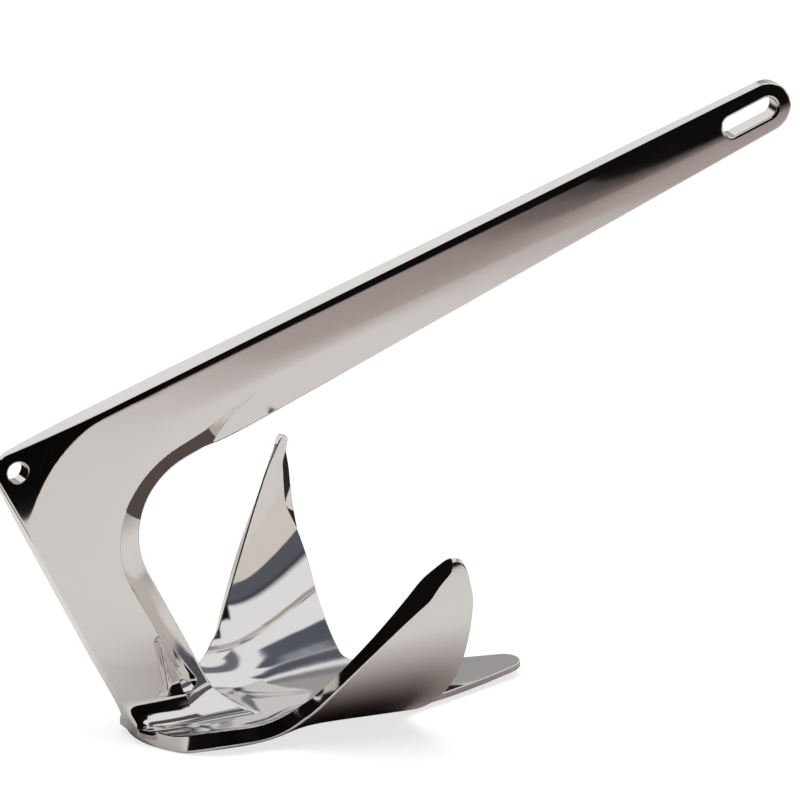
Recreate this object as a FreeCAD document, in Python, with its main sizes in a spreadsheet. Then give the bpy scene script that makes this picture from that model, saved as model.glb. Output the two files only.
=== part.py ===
"""Claw anchor, one stainless casting: a bent shank with an eye, on a scoop with three claws.

Frame: +X runs forward from the heel to the tip of the middle claw, +Z is up, the plane Y = 0
halves the anchor. The origin is on the floor under the heel of the shank. Sizes are in mm.
"""
import FreeCAD
import Part
import Sketcher
import math
import os

from FreeCAD import Vector

NODE = "claw_anchor"

# Driving dimensions: alias, value, what it is
SIZES = [
    ("eye_x", 490.0, "eye: forward reach of its outer arc's centre"),
    ("eye_z", 402.0, "eye: height of its outer arc's centre"),
    ("eye_round", 18.6, "eye: outer radius"),
    ("slot_reach", 30.0, "eye slot: distance between its two end centres"),
    ("slot_width", 15.0, "eye slot: width"),
    ("slot_slope", 19.0, "eye slot: slope in degrees"),
    ("slot_lip", 2.2, "eye slot: rounding of its rim"),
    ("trip_x", -105.0, "trip hole: centre behind the origin"),
    ("trip_z", 218.0, "trip hole: centre height"),
    ("trip_bore", 15.0, "trip hole: diameter"),
    ("elbow_round", 16.0, "elbow corner: radius round the trip hole"),
    ("heel_x", -13.0, "shank: back of its foot at the floor"),
    ("foot_x", 63.5, "shank: front of its foot, where the leading edge would meet the floor"),
    ("foot_slope", 62.4, "shank: slope of the short arm's leading edge in degrees"),
    ("arm_slope", 20.8, "shank: slope of the long arm's lower edge in degrees"),
    ("throat_round", 58.5, "shank: radius of the throat between the two arms"),
    ("tail_round", 50.0, "shank: radius that leads its front edge into the scoop"),
    ("elbow_half", 9.4, "shank: half thickness on the spine of the short arm and elbow"),
    ("eye_half", 7.0, "shank: half thickness on the spine at the eye"),
    ("rim_half", 3.0, "shank: half thickness that the flanks fall to far from the spine"),
    ("flank_reach", 28.0, "shank: distance from the spine over which the flanks fall"),
    ("spine_inset", 34.0, "shank: distance of the spine from the throat edge"),
    ("nose_half", 4.0, "inside bevel: half thickness left at the throat edge"),
    ("bevel_rise", 0.24, "inside bevel: rise for each mm away from the throat edge"),
    ("bevel_end", 96.0, "inside bevel: length past the throat, up the long arm"),
    ("hollow_z", 28.0, "inside bevel: height of its lower end"),
    ("edge_soft", 1.5, "shank: rounding of its edges"),
    ("root_round", 20.0, "foot: radius of the hollow between flank and scoop floor"),
    ("root_half", 8.2, "foot: half thickness at the top of that hollow"),
    ("root_sink", 0.6, "foot: depth of that hollow's lower edge in the scoop floor"),
    ("floor_half", 38.0, "scoop: half width of its flat floor at the heel"),
    ("floor_front", 9.0, "scoop: half width of its flat floor between the side claws"),
    ("floor_turn", 80.0, "scoop: where the floor narrows, forward"),
    ("floor_blend", 12.0, "scoop: length over which the floor narrows"),
    ("wall_round", 30.0, "scoop: radius of its side walls at the origin"),
    ("wall_growth", 0.63, "scoop: growth of that radius for each mm forward"),
    ("wall_turn", 112.0, "scoop: turn of its side walls before they are trimmed, in degrees"),
    ("toe_start", 115.0, "scoop: where the floor starts to rise"),
    ("toe_rise", 7.0, "scoop: rise of the floor at the middle claw's tip"),
    ("floor_grind", 0.8, "scoop: depth ground off its underside, which leaves a flat to stand on"),
    ("floor_thick", 12.8, "scoop: thickness at the heel"),
    ("tip_thick", 4.6, "scoop: thickness at the claws' front edges and tips"),
    ("heel_round", 64.0, "scoop outline: radius of the heel"),
    ("flare_round", 50.0, "scoop outline: radius from the heel out to the side claws"),
    ("flare_slope", 60.0, "scoop outline: slope of that flare in degrees"),
    ("palm_tip", 294.0, "middle claw: its tip, forward"),
    ("palm_tip_round", 14.0, "middle claw: radius of its tip"),
    ("palm_taper", 19.0, "middle claw: slope of its sides in degrees"),
    ("palm_root", 195.0, "scoop: where it has thinned to the claws' thickness, forward"),
    ("notch_x", 178.0, "notch between the middle and a side claw: its bottom, forward"),
    ("notch_round", 9.0, "notch: radius of its bottom"),
    ("claw_rear_x", 84.6, "side claw: foot of its rear edge, forward"),
    ("claw_rear_z", 24.0, "side claw: foot of its rear edge, height"),
    ("claw_rise", 59.0, "side claw: slope of its rear edge in degrees"),
    ("claw_rear_run", 132.0, "side claw: straight length of its rear edge"),
    ("claw_tip_x", 177.0, "side claw: corner that its tip rounds, forward"),
    ("claw_tip_z", 163.0, "side claw: corner that its tip rounds, height"),
    ("claw_tip_round", 8.0, "side claw: radius of its tip"),
    ("claw_front_x", 184.0, "side claw: front edge, forward"),
    ("claw_waist", 122.0, "side claw: distance from the middle plane to where its front edge turns"),
    ("claw_waist_round", 90.0, "side claw: radius of that turn"),
    ("claw_rear_round", 30.0, "side claw: radius at the foot of its rear edge"),
    ("claw_bend_round", 60.0, "side claw: radius of the bend over its rear edge"),
    ("claw_foot_x", 189.0, "side claw: lower end of its front edge in the side view, forward"),
    ("claw_foot_z", 98.0, "side claw: lower end of its front edge in the side view, height"),
]

# How far a trimming outline or face runs past what it trims
MARGIN = 8.0

doc = FreeCAD.newDocument("anchor")
sheet = doc.addObject("Spreadsheet::Sheet", "sizes")
for row, (alias, value, note) in enumerate(SIZES, start=1):
    sheet.set(f"A{row}", alias)
    sheet.set(f"B{row}", str(value))
    sheet.set(f"C{row}", note)
    sheet.setAlias(f"B{row}", alias)
doc.recompute()


def size(alias):
    """One driving dimension as a plain number."""
    return float(sheet.get(alias))


def polar(angle, reach):
    """A step of that length in the side view's plane, its angle in degrees from +X up."""
    turn = math.radians(angle)
    return Vector(reach * math.cos(turn), 0, reach * math.sin(turn))


def flat(point):
    """The same point in a sketch on the XZ plane."""
    return Vector(point.x, point.z, 0)


def crossing(normal_a, reach_a, normal_b, reach_b):
    """The point whose steps along two normals in the side view are the two reaches."""
    spread = normal_a.x * normal_b.z - normal_a.z * normal_b.x
    x = (reach_a * normal_b.z - reach_b * normal_a.z) / spread
    z = (normal_a.x * reach_b - normal_b.x * reach_a) / spread
    return Vector(x, 0, z)


# Shank outline in the side view: centres, slopes and tangent points
trip = Vector(size("trip_x"), 0, size("trip_z"))
eye = Vector(size("eye_x"), 0, size("eye_z"))
foot = Vector(size("foot_x"), 0, 0)
arm_slope = size("arm_slope")
lead_slope = 180 - size("foot_slope")
floor_top = size("floor_thick") - size("floor_grind")
shank_base = floor_top / 3
tail_z = floor_top * 0.8

along_arm = eye - trip
rise = math.degrees(math.atan2(along_arm.z, along_arm.x))
spread = math.degrees(math.acos((size("elbow_round") - size("eye_round")) / along_arm.Length))
top_normal = polar(rise + spread, 1)
under_normal = polar(arm_slope - 90, 1)
lead_normal = polar(lead_slope - 90, 1)

top_back = trip + top_normal * size("elbow_round")
top_front = eye + top_normal * size("eye_round")
under_front = eye + under_normal * size("eye_round")
throat = crossing(
    under_normal, under_normal.dot(under_front) + size("throat_round"),
    lead_normal, lead_normal.dot(foot) + size("throat_round"),
)
throat_top = throat - under_normal * size("throat_round")
throat_low = throat - lead_normal * size("throat_round")
tail = crossing(
    lead_normal, lead_normal.dot(foot) + size("tail_round"),
    Vector(0, 0, 1), tail_z + size("tail_round"),
)
tail_top = tail - lead_normal * size("tail_round")
tail_end = Vector(tail.x, 0, tail_z)
tail_low = Vector(tail.x, 0, shank_base)
heel = Vector(size("heel_x"), 0, shank_base)

# The rear edge runs from the heel to touch the arc round the trip hole
to_trip = trip - heel
lean = math.degrees(math.atan2(to_trip.z, to_trip.x))
swing = math.degrees(math.asin(size("elbow_round") / to_trip.Length))
rear_normal = polar(lean + swing + 90, 1)
rear_top = trip + rear_normal * size("elbow_round")


def arc(centre, start, end, turn):
    """An arc about a centre between two points, turning left (1) or right (-1) along the way."""
    radius = (start - centre).Length
    first = math.atan2((start - centre).z, (start - centre).x)
    last = math.atan2((end - centre).z, (end - centre).x)
    if turn < 0:
        first, last = last, first
    circle = Part.Circle(flat(centre), Vector(0, 0, 1), radius)
    return Part.ArcOfCircle(circle, first, last)


def line(start, end):
    """A straight side of a sketch."""
    return Part.LineSegment(flat(start), flat(end))


def origin_plane(body, role):
    """One of the body's own three origin planes."""
    return [item for item in body.Origin.OriginFeatures if item.Role == role][0]


def new_sketch(body, name, role):
    """An empty sketch on one of the body's origin planes."""
    sketch = body.newObject("Sketcher::SketchObject", name)
    sketch.AttachmentSupport = (origin_plane(body, role), [""])
    sketch.MapMode = "FlatFace"
    return sketch


def bind(sketch, name, constraint, formula):
    """Add a dimension to the sketch and tie it to the sheet."""
    index = sketch.addConstraint(constraint)
    sketch.renameConstraint(index, name)
    sketch.setExpression(f"Constraints.{name}", formula)


FLOOR_TOP = "(sizes.floor_thick - sizes.floor_grind)"

# Shank outline: each side with its sketch ends (1 start, 2 end) along the way round, and
# whether the next side leaves it smoothly
TOP, EYE, UNDER, THROAT, LEAD, TAIL, STEP, BASE, REAR, ELBOW = range(10)
shank_body = doc.addObject("PartDesign::Body", "shank_blank")
outline = new_sketch(shank_body, "shank_outline", "XZ_Plane")
outline.addGeometry([
    line(top_back, top_front),
    arc(eye, top_front, under_front, -1),
    line(under_front, throat_top),
    arc(throat, throat_top, throat_low, 1),
    line(throat_low, tail_top),
    arc(tail, tail_top, tail_end, 1),
    line(tail_end, tail_low),
    line(tail_low, heel),
    line(heel, rear_top),
    arc(trip, rear_top, top_back, -1),
], False)
joins = [
    ("Tangent", TOP, 2, EYE, 2), ("Tangent", EYE, 1, UNDER, 1), ("Tangent", UNDER, 2, THROAT, 1),
    ("Tangent", THROAT, 2, LEAD, 1), ("Tangent", LEAD, 2, TAIL, 1),
    ("Coincident", TAIL, 2, STEP, 1), ("Coincident", STEP, 2, BASE, 1),
    ("Coincident", BASE, 2, REAR, 1), ("Tangent", REAR, 2, ELBOW, 2), ("Tangent", ELBOW, 1, TOP, 1),
]
for join in joins:
    outline.addConstraint(Sketcher.Constraint(*join))
outline.addConstraint(Sketcher.Constraint("Vertical", STEP))
outline.addConstraint(Sketcher.Constraint("Horizontal", BASE))
outline.addConstraint(Sketcher.Constraint("Vertical", TAIL, 3, TAIL, 2))
foot_point = outline.addGeometry(Part.Point(flat(foot)), True)
outline.addConstraint(Sketcher.Constraint("PointOnObject", foot_point, 1, LEAD))
outline.addConstraint(Sketcher.Constraint("PointOnObject", foot_point, 1, -1))
constraint = Sketcher.Constraint
bind(outline, "trip_back", constraint("DistanceX", ELBOW, 3, -1, 1, -trip.x), "-sizes.trip_x")
bind(outline, "trip_up", constraint("DistanceY", -1, 1, ELBOW, 3, trip.z), "sizes.trip_z")
bind(outline, "elbow", constraint("Radius", ELBOW, size("elbow_round")), "sizes.elbow_round")
bind(outline, "eye_fore", constraint("DistanceX", -1, 1, EYE, 3, eye.x), "sizes.eye_x")
bind(outline, "eye_up", constraint("DistanceY", -1, 1, EYE, 3, eye.z), "sizes.eye_z")
bind(outline, "eye_end", constraint("Radius", EYE, size("eye_round")), "sizes.eye_round")
bind(outline, "throat", constraint("Radius", THROAT, size("throat_round")), "sizes.throat_round")
bind(outline, "tail", constraint("Radius", TAIL, size("tail_round")), "sizes.tail_round")
bind(outline, "heel_back", constraint("DistanceX", REAR, 1, -1, 1, -heel.x), "-sizes.heel_x")
bind(outline, "base_up", constraint("DistanceY", -1, 1, REAR, 1, heel.z), f"{FLOOR_TOP} / 3")
bind(outline, "foot_fore", constraint("DistanceX", -1, 1, foot_point, 1, foot.x), "sizes.foot_x")
bind(outline, "tail_up", constraint("DistanceY", -1, 1, TAIL, 2, tail_z), f"{FLOOR_TOP} * 0.8")
under_turn, lead_turn = math.radians(arm_slope - 180), -math.radians(size("foot_slope"))
bind(outline, "arm_lean", constraint("Angle", UNDER, under_turn), "sizes.arm_slope * 1 deg - 180 deg")
bind(outline, "lead_lean", constraint("Angle", LEAD, lead_turn), "-sizes.foot_slope * 1 deg")
doc.recompute()

blank = shank_body.newObject("PartDesign::Pad", "blank")
blank.Profile = outline
blank.Midplane = True
blank.setExpression("Length", "4 * sizes.elbow_half")
doc.recompute()

# The spine runs down the short arm, round the elbow and out to the eye. The flanks are
# thickest along it and fall away on both sides, most of all out to the trip hole.
spine_round = size("throat_round") + size("spine_inset")
to_eye = eye - throat
bearing = math.degrees(math.atan2(to_eye.z, to_eye.x))
turn_low = lead_slope + 90
turn_high = bearing + math.degrees(math.acos(spine_round / to_eye.Length))


LOWER_STATIONS = (1, 0.66, 0.33)
UPPER_STATIONS = (0.08, 0.2, 0.4, 0.6, 0.8, 1, 1.12)
BEND_STEPS = 7
FLANK_STEPS = 11


def spine_stations():
    """Points on the spine with the outward direction and the half thickness at each."""
    stations = []
    low_end = throat - lead_normal * spine_round
    run = low_end.z / math.sin(math.radians(lead_slope)) + floor_top
    for part in LOWER_STATIONS:
        stations.append((low_end - polar(lead_slope, run * part), -lead_normal, size("elbow_half")))
    for step in range(BEND_STEPS + 1):
        turn = turn_low + (turn_high - turn_low) * step / BEND_STEPS
        outward = polar(turn, 1)
        stations.append((throat + outward * spine_round, outward, size("elbow_half")))
    start = throat + outward * spine_round
    reach = (eye - start).Length
    ahead = polar(turn_high - 90, 1)
    for part in UPPER_STATIONS:
        half = size("elbow_half") + (size("eye_half") - size("elbow_half")) * part
        stations.append((start + ahead * reach * part, outward, half))
    return stations


def surface(rows):
    """A smooth face through rows of points."""
    sheet_form = Part.BSplineSurface()
    sheet_form.interpolate(rows)
    return sheet_form.toShape()


def flank_rows():
    """Points on the left flank, somewhat beyond the shank's outline."""
    near = -size("spine_inset") - floor_top
    far = (trip - throat).Length - spine_round + size("elbow_round") + MARGIN
    offsets = [near + (far - near) * step / FLANK_STEPS for step in range(FLANK_STEPS + 1)]
    rows = []
    for point, outward, half in spine_stations():
        row = []
        for offset in offsets:
            fall = 1 + (offset / size("flank_reach")) ** 2
            depth = size("rim_half") + (half - size("rim_half")) / fall
            row.append(point + outward * offset + Vector(0, depth, 0))
        rows.append(row)
    return rows


# Steps along the bevel up the arm, round the throat and down the leading edge; how far from the
# edge its points lie, evenly apart; and what it leaves of the thickness where it runs out
ARM_STEPS, THROAT_STEPS, LEAD_STEPS = 6, 6, 7
BEVEL_REACH = (-6, 6, 18, 30, 42)
BEVEL_LEAVES = 0.72


def bevel():
    """The face of the left bevel along the inside edge, from up the long arm down to the foot."""
    along = polar(arm_slope, 1)
    stations = []
    for step in range(ARM_STEPS):
        part = 1 - step / ARM_STEPS
        edge = throat_top + along * size("bevel_end") * part
        stations.append((edge, -under_normal, part))
    for step in range(THROAT_STEPS + 1):
        turn = arm_slope + 90 + (lead_slope - arm_slope) * step / THROAT_STEPS
        outward = polar(turn, 1)
        stations.append((throat + outward * size("throat_round"), outward, 0))
    drop = (throat_low.z - size("hollow_z")) / math.sin(math.radians(lead_slope))
    for step in range(1, LEAD_STEPS + 1):
        stations.append((throat_low - polar(lead_slope, drop * step / LEAD_STEPS), -lead_normal, 0))
    rows = []
    for edge, inward, fade in stations:
        nose = size("nose_half") + fade * (size("elbow_half") * BEVEL_LEAVES - size("nose_half"))
        climb = size("bevel_rise") * (1 - fade / 2)
        rows.append([edge + inward * reach + Vector(0, nose + climb * reach, 0)
                     for reach in BEVEL_REACH])
    return surface(rows)


def solid_between(low, high):
    """The solid between two curved faces of the same outline."""
    faces = [low.Faces[0], high.Faces[0]]
    for lower in low.Edges:
        middle = lower.valueAt((lower.FirstParameter + lower.LastParameter) / 2)
        upper = min(high.Edges, key=lambda edge: edge.distToShape(Part.Vertex(middle))[0])
        faces.append(Part.makeRuledSurface(lower, upper))
    shell = Part.makeShell(faces)
    shell.sewShape()
    solid = Part.makeSolid(shell)
    solid.fix(0.01, 0.01, 0.1)
    return solid


def slab(name, rows):
    """What lies between a face through the rows and its mirror image in Y = 0."""
    other = [[Vector(point.x, -point.y, point.z) for point in row] for row in rows]
    item = doc.addObject("Part::Feature", name)
    item.Shape = solid_between(surface(other), surface(rows))
    return item


def common(name, shapes):
    """What all the shapes share."""
    item = doc.addObject("Part::MultiCommon", name)
    item.Shapes = shapes
    doc.recompute()
    return item


def cut(name, base, tool):
    """The base less the tool."""
    item = doc.addObject("Part::Cut", name)
    item.Base = base
    item.Tool = tool
    doc.recompute()
    return item


flanks = slab("flanks", flank_rows())
flanked = common("flanked_shank", [shank_body, flanks])
outside = bevel().extrude(Vector(0, 4 * size("elbow_half"), 0))
bevels = doc.addObject("Part::Feature", "outside_bevels")
bevels.Shape = Part.makeCompound([outside, outside.mirror(Vector(0, 0, 0), Vector(0, 1, 0))])
bevelled = cut("bevelled_shank", flanked, bevels)


def soften(name, base, chosen, radius):
    """The base with its chosen edges, and all that run on smoothly from them, rounded."""
    item = doc.addObject("Part::Fillet", name)
    item.Base = base
    edges = base.Shape.Edges
    item.Edges = [(index + 1, radius, radius) for index, edge in enumerate(edges) if chosen(edge)]
    doc.recompute()
    return item


def on_lower_edge(edge):
    """Whether an edge runs along the long arm's lower side, off the plane Y = 0."""
    ends = [vertex.Point for vertex in edge.Vertexes]
    level = under_normal.dot(under_front)
    return all(abs(under_normal.dot(point) - level) < 0.01 and abs(point.y) > 1 for point in ends) and (
        ends[0].y * ends[-1].y > 0)


softened = soften("softened_shank", bevelled, on_lower_edge, size("edge_soft"))


def thickness(x):
    """Thickness of the scoop: full at the heel, thinning forward to the claws' front edges."""
    fade = max(0, 1 - (max(x, 0) / size("palm_root")) ** 2)
    return size("tip_thick") + (size("floor_thick") - size("tip_thick")) * fade


def under_point(x, along):
    """The scoop's underside: a flat floor between round walls, developed sideways from Y = 0."""
    narrow = 1 + math.exp((x - size("floor_turn")) / size("floor_blend"))
    half = size("floor_front") + (size("floor_half") - size("floor_front")) / narrow
    wall = size("wall_round") + size("wall_growth") * x
    toe = max(0, x - size("toe_start")) / (size("palm_tip") - size("toe_start"))
    lift = size("toe_rise") * toe ** 2 - size("floor_grind")
    reach = half + wall * math.radians(size("wall_turn"))
    place = abs(along) * reach
    side = math.copysign(1, along)
    if place <= half:
        return Vector(x, side * place, lift)
    turn = (place - half) / wall
    return Vector(x, side * (half + wall * math.sin(turn)), lift + wall * (1 - math.cos(turn)))


def top_point(x, along):
    """The scoop's upper side: the underside moved inward by the local thickness."""
    small = 0.001
    ahead = under_point(x + small, along) - under_point(x - small, along)
    across = under_point(x, along + small) - under_point(x, along - small)
    inward = ahead.cross(across)
    inward.normalize()
    return under_point(x, along) + inward * thickness(x)


SHEET_STEPS, SIDE_STEPS = 14, 8


def scoop_sheet():
    """The scoop before it is trimmed: a solid between its two curved faces."""
    back = size("heel_x") - MARGIN
    front = size("palm_tip") + MARGIN
    lengths = [back + (front - back) * step / SHEET_STEPS for step in range(SHEET_STEPS + 1)]
    sides = [step / SIDE_STEPS for step in range(-SIDE_STEPS, SIDE_STEPS + 1)]
    low = surface([[under_point(x, along) for along in sides] for x in lengths])
    high = surface([[top_point(x, along) for along in sides] for x in lengths])
    return solid_between(low, high)


def rounded(sketch, corners):
    """Draw a closed outline through corners, each given with the size that rounds it, if any."""
    pieces, ends, radii = [], [], []
    count = len(corners)
    for index, (corner, alias) in enumerate(corners):
        here = Vector(*corner, 0)
        if alias is None:
            ends.append((here, here))
            continue
        before = Vector(*corners[index - 1][0], 0) - here
        after = Vector(*corners[(index + 1) % count][0], 0) - here
        before.normalize()
        after.normalize()
        opening = before.getAngle(after)
        step = size(alias) / math.tan(opening / 2)
        start, end = here + before * step, here + after * step
        bisector = before + after
        bisector.normalize()
        middle = here + bisector * (size(alias) / math.sin(opening / 2) - size(alias))
        pieces.append(Part.Arc(start, middle, end))
        ends.append((start, end))
        radii.append(alias)
    for index in range(count):
        start, end = ends[index - 1][1], ends[index][0]
        if (end - start).Length > 0.001:
            pieces.append(Part.LineSegment(start, end))
    sketch.addGeometry(pieces, False)
    for index, alias in enumerate(radii):
        dimension = Sketcher.Constraint("Radius", index, size(alias))
        bind(sketch, f"round_{index}", dimension, f"sizes.{alias}")


def mirrored(corners):
    """Corners on the left half followed by the same ones on the right half, on the way back."""
    return corners + [((x, -y), alias) for (x, y), alias in reversed(corners) if y > 0]


# Scoop outline from above: round heel, walls that flare to the side claws, notch, middle claw
taper = math.radians(size("palm_taper"))
palm_apex = size("palm_tip") + size("palm_tip_round") * (1 / math.sin(taper) - 1)
notch_half = (palm_apex - size("notch_x")) * math.tan(taper)
flare = math.radians(size("flare_slope"))
wide = size("claw_tip_z") + 3 * MARGIN
flare_x = size("heel_x") + size("heel_round") + size("flare_round") * math.tan(flare / 2)
plan_corners = mirrored([
    ((palm_apex, 0), "palm_tip_round"),
    ((size("notch_x"), notch_half), "notch_round"),
    ((size("claw_front_x"), size("claw_waist")), "claw_waist_round"),
    ((size("claw_front_x"), wide), None),
    ((flare_x + (wide - size("heel_round")) / math.tan(flare), wide), None),
    ((flare_x, size("heel_round")), "flare_round"),
    ((size("heel_x"), size("heel_round")), "heel_round"),
])

# Side claw outline from the side: rear edge, tip, front edge, and the scoop's floor below it
claw_rise = math.radians(size("claw_rise"))
rear_low = (size("claw_rear_x"), size("claw_rear_z"))
rear_bend = (rear_low[0] + size("claw_rear_run") * math.cos(claw_rise),
             rear_low[1] + size("claw_rear_run") * math.sin(claw_rise))
behind, before_tip = size("heel_x") - 3 * MARGIN, size("palm_tip") + 3 * MARGIN
side_corners = [
    ((behind, 0), None),
    ((behind, rear_low[1]), None),
    (rear_low, "claw_rear_round"),
    (rear_bend, "claw_bend_round"),
    ((size("claw_tip_x"), size("claw_tip_z")), "claw_tip_round"),
    ((size("claw_foot_x"), size("claw_foot_z")), None),
    ((before_tip, size("claw_foot_z")), None),
    ((before_tip, 0), None),
]


def trimmer(name, role, corners, reach):
    """A body padded both ways from an outline on one of its origin planes."""
    body = doc.addObject("PartDesign::Body", name)
    sketch = new_sketch(body, f"{name}_outline", role)
    rounded(sketch, corners)
    pad = body.newObject("PartDesign::Pad", f"{name}_pad")
    pad.Profile = sketch
    pad.Midplane = True
    pad.setExpression("Length", reach)
    doc.recompute()
    return body


blank_scoop = doc.addObject("Part::Feature", "untrimmed_scoop")
blank_scoop.Shape = scoop_sheet()
plan = trimmer("plan_trim", "XY_Plane", plan_corners, "4 * sizes.claw_tip_z")
profile = trimmer("side_trim", "XZ_Plane", side_corners, "4 * sizes.claw_tip_z")
scoop = common("scoop", [blank_scoop, plan, profile])

# Root: the hollow on each side that carries the shank's flanks into the scoop's floor
root_round, root_half = size("root_round"), size("root_half")
root_low, root_level = floor_top / 2, floor_top - size("root_sink")
root_high, root_wide = root_level + root_round, root_half + root_round
bulge = root_round * (1 - math.sqrt(0.5))
root_body = doc.addObject("PartDesign::Body", "root")
root_sketch = new_sketch(root_body, "root_outline", "YZ_Plane")
SOLE, RIGHT, RIGHT_HOLLOW, CROWN, LEFT_HOLLOW, LEFT = range(6)
root_sketch.addGeometry([
    Part.LineSegment(Vector(-root_wide, root_low, 0), Vector(root_wide, root_low, 0)),
    Part.LineSegment(Vector(root_wide, root_low, 0), Vector(root_wide, root_level, 0)),
    Part.Arc(Vector(root_wide, root_level, 0), Vector(root_half + bulge, root_level + bulge, 0),
             Vector(root_half, root_high, 0)),
    Part.LineSegment(Vector(root_half, root_high, 0), Vector(-root_half, root_high, 0)),
    Part.Arc(Vector(-root_half, root_high, 0), Vector(-root_half - bulge, root_level + bulge, 0),
             Vector(-root_wide, root_level, 0)),
    Part.LineSegment(Vector(-root_wide, root_level, 0), Vector(-root_wide, root_low, 0)),
], False)
for rule in [
    ("Coincident", SOLE, 2, RIGHT, 1), ("Coincident", RIGHT, 2, RIGHT_HOLLOW, 2),
    ("Coincident", RIGHT_HOLLOW, 1, CROWN, 1), ("Coincident", CROWN, 2, LEFT_HOLLOW, 2),
    ("Coincident", LEFT_HOLLOW, 1, LEFT, 1), ("Coincident", LEFT, 2, SOLE, 1),
    ("Horizontal", SOLE), ("Horizontal", CROWN), ("Vertical", RIGHT), ("Vertical", LEFT),
    ("Vertical", RIGHT_HOLLOW, 3, RIGHT_HOLLOW, 2), ("Horizontal", RIGHT_HOLLOW, 3, RIGHT_HOLLOW, 1),
    ("Vertical", LEFT_HOLLOW, 3, LEFT_HOLLOW, 1), ("Horizontal", LEFT_HOLLOW, 3, LEFT_HOLLOW, 2),
]:
    root_sketch.addConstraint(constraint(*rule))
bind(root_sketch, "right_round", constraint("Radius", RIGHT_HOLLOW, root_round), "sizes.root_round")
bind(root_sketch, "left_round", constraint("Radius", LEFT_HOLLOW, root_round), "sizes.root_round")
bind(root_sketch, "sole_up", constraint("DistanceY", -1, 1, SOLE, 1, root_low), f"{FLOOR_TOP} / 2")
bind(root_sketch, "edge_up", constraint("DistanceY", -1, 1, RIGHT, 2, root_level),
     f"{FLOOR_TOP} - sizes.root_sink")
bind(root_sketch, "right_half", constraint("DistanceX", -1, 1, CROWN, 1, root_half), "sizes.root_half")
bind(root_sketch, "left_half", constraint("DistanceX", CROWN, 2, -1, 1, root_half), "sizes.root_half")
root_pad = root_body.newObject("PartDesign::Pad", "root_pad")
root_pad.Profile = root_sketch
root_pad.Midplane = True
root_pad.setExpression("Length", "sizes.palm_tip")
doc.recompute()
root = common("trimmed_root", [root_body, shank_body, plan])

# Eye slot along the long arm, and the trip hole through the elbow corner
slot_half = size("slot_width") / 2
slot_back = eye - polar(size("slot_slope"), size("slot_reach"))
slot_ahead = polar(size("slot_slope"), slot_half)
slot_side = polar(size("slot_slope") + 90, slot_half)
hole_body = doc.addObject("PartDesign::Body", "holes")
holes = new_sketch(hole_body, "hole_outlines", "XZ_Plane")
SLOT_TOP, SLOT_FRONT, SLOT_UNDER, SLOT_BACK, TRIP_HOLE = range(5)
holes.addGeometry([
    line(slot_back + slot_side, eye + slot_side),
    Part.Arc(flat(eye + slot_side), flat(eye + slot_ahead), flat(eye - slot_side)),
    line(eye - slot_side, slot_back - slot_side),
    Part.Arc(flat(slot_back - slot_side), flat(slot_back - slot_ahead), flat(slot_back + slot_side)),
    Part.Circle(flat(trip), Vector(0, 0, 1), size("trip_bore") / 2),
], False)
for rule in [
    ("Tangent", SLOT_TOP, 2, SLOT_FRONT, 2), ("Tangent", SLOT_FRONT, 1, SLOT_UNDER, 1),
    ("Tangent", SLOT_UNDER, 2, SLOT_BACK, 2), ("Tangent", SLOT_BACK, 1, SLOT_TOP, 1),
    ("Equal", SLOT_FRONT, SLOT_BACK),
]:
    holes.addConstraint(constraint(*rule))
bind(holes, "slot_end", constraint("Radius", SLOT_FRONT, slot_half), "sizes.slot_width / 2")
bind(holes, "slot_fore", constraint("DistanceX", -1, 1, SLOT_FRONT, 3, eye.x), "sizes.eye_x")
bind(holes, "slot_up", constraint("DistanceY", -1, 1, SLOT_FRONT, 3, eye.z), "sizes.eye_z")
bind(holes, "slot_long", constraint("Distance", SLOT_BACK, 3, SLOT_FRONT, 3, size("slot_reach")),
     "sizes.slot_reach")
bind(holes, "slot_lean", constraint("Angle", SLOT_TOP, math.radians(size("slot_slope"))),
     "sizes.slot_slope * 1 deg")
bind(holes, "trip_bore", constraint("Radius", TRIP_HOLE, size("trip_bore") / 2), "sizes.trip_bore / 2")
bind(holes, "trip_back", constraint("DistanceX", TRIP_HOLE, 3, -1, 1, -trip.x), "-sizes.trip_x")
bind(holes, "trip_up", constraint("DistanceY", -1, 1, TRIP_HOLE, 3, trip.z), "sizes.trip_z")
holes_pad = hole_body.newObject("PartDesign::Pad", "holes_pad")
holes_pad.Profile = holes
holes_pad.Midplane = True
holes_pad.setExpression("Length", "6 * sizes.elbow_half")
doc.recompute()
pierced = cut("pierced_shank", softened, hole_body)


def from_slot(point):
    """Distance in the side view from a point to the slot's wall."""
    step = Vector(point.x, 0, point.z) - slot_back
    along = min(max(step.dot(slot_ahead) / slot_half, 0), size("slot_reach"))
    return (step - polar(size("slot_slope"), along)).Length - slot_half


def on_slot_rim(edge):
    """Whether an edge runs round the slot on one flank."""
    ends = [vertex.Point for vertex in edge.Vertexes]
    return ends[0].y * ends[-1].y > 0 and all(abs(from_slot(point)) < 0.01 for point in ends)


shank = soften("shank", pierced, on_slot_rim, size("slot_lip"))


def fuse(name, base, tool):
    """The base and the tool as one."""
    item = doc.addObject("Part::Fuse", name)
    item.Base = base
    item.Tool = tool
    doc.recompute()
    return item


footed = fuse("footed_scoop", scoop, root)
anchor = fuse("casting", footed, shank)
anchor.Label = NODE

for item in doc.Objects:
    if "Invalid" in item.State or "Error" in item.State:
        raise RuntimeError(f"{item.Name} did not build: {item.State}")
shape = anchor.Shape
if shape.isNull() or not shape.isValid() or len(shape.Solids) != 1:
    raise RuntimeError("the anchor isn't one sound solid")
os.makedirs("parts", exist_ok=True)
shape.exportStep(f"parts/{NODE}.step")
box = shape.optimalBoundingBox()
print(f"{NODE}: {shape.Volume / 1000:.0f} cm3, {box.XLength:.1f} x {box.YLength:.1f} x {box.ZLength:.1f} mm")
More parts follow.
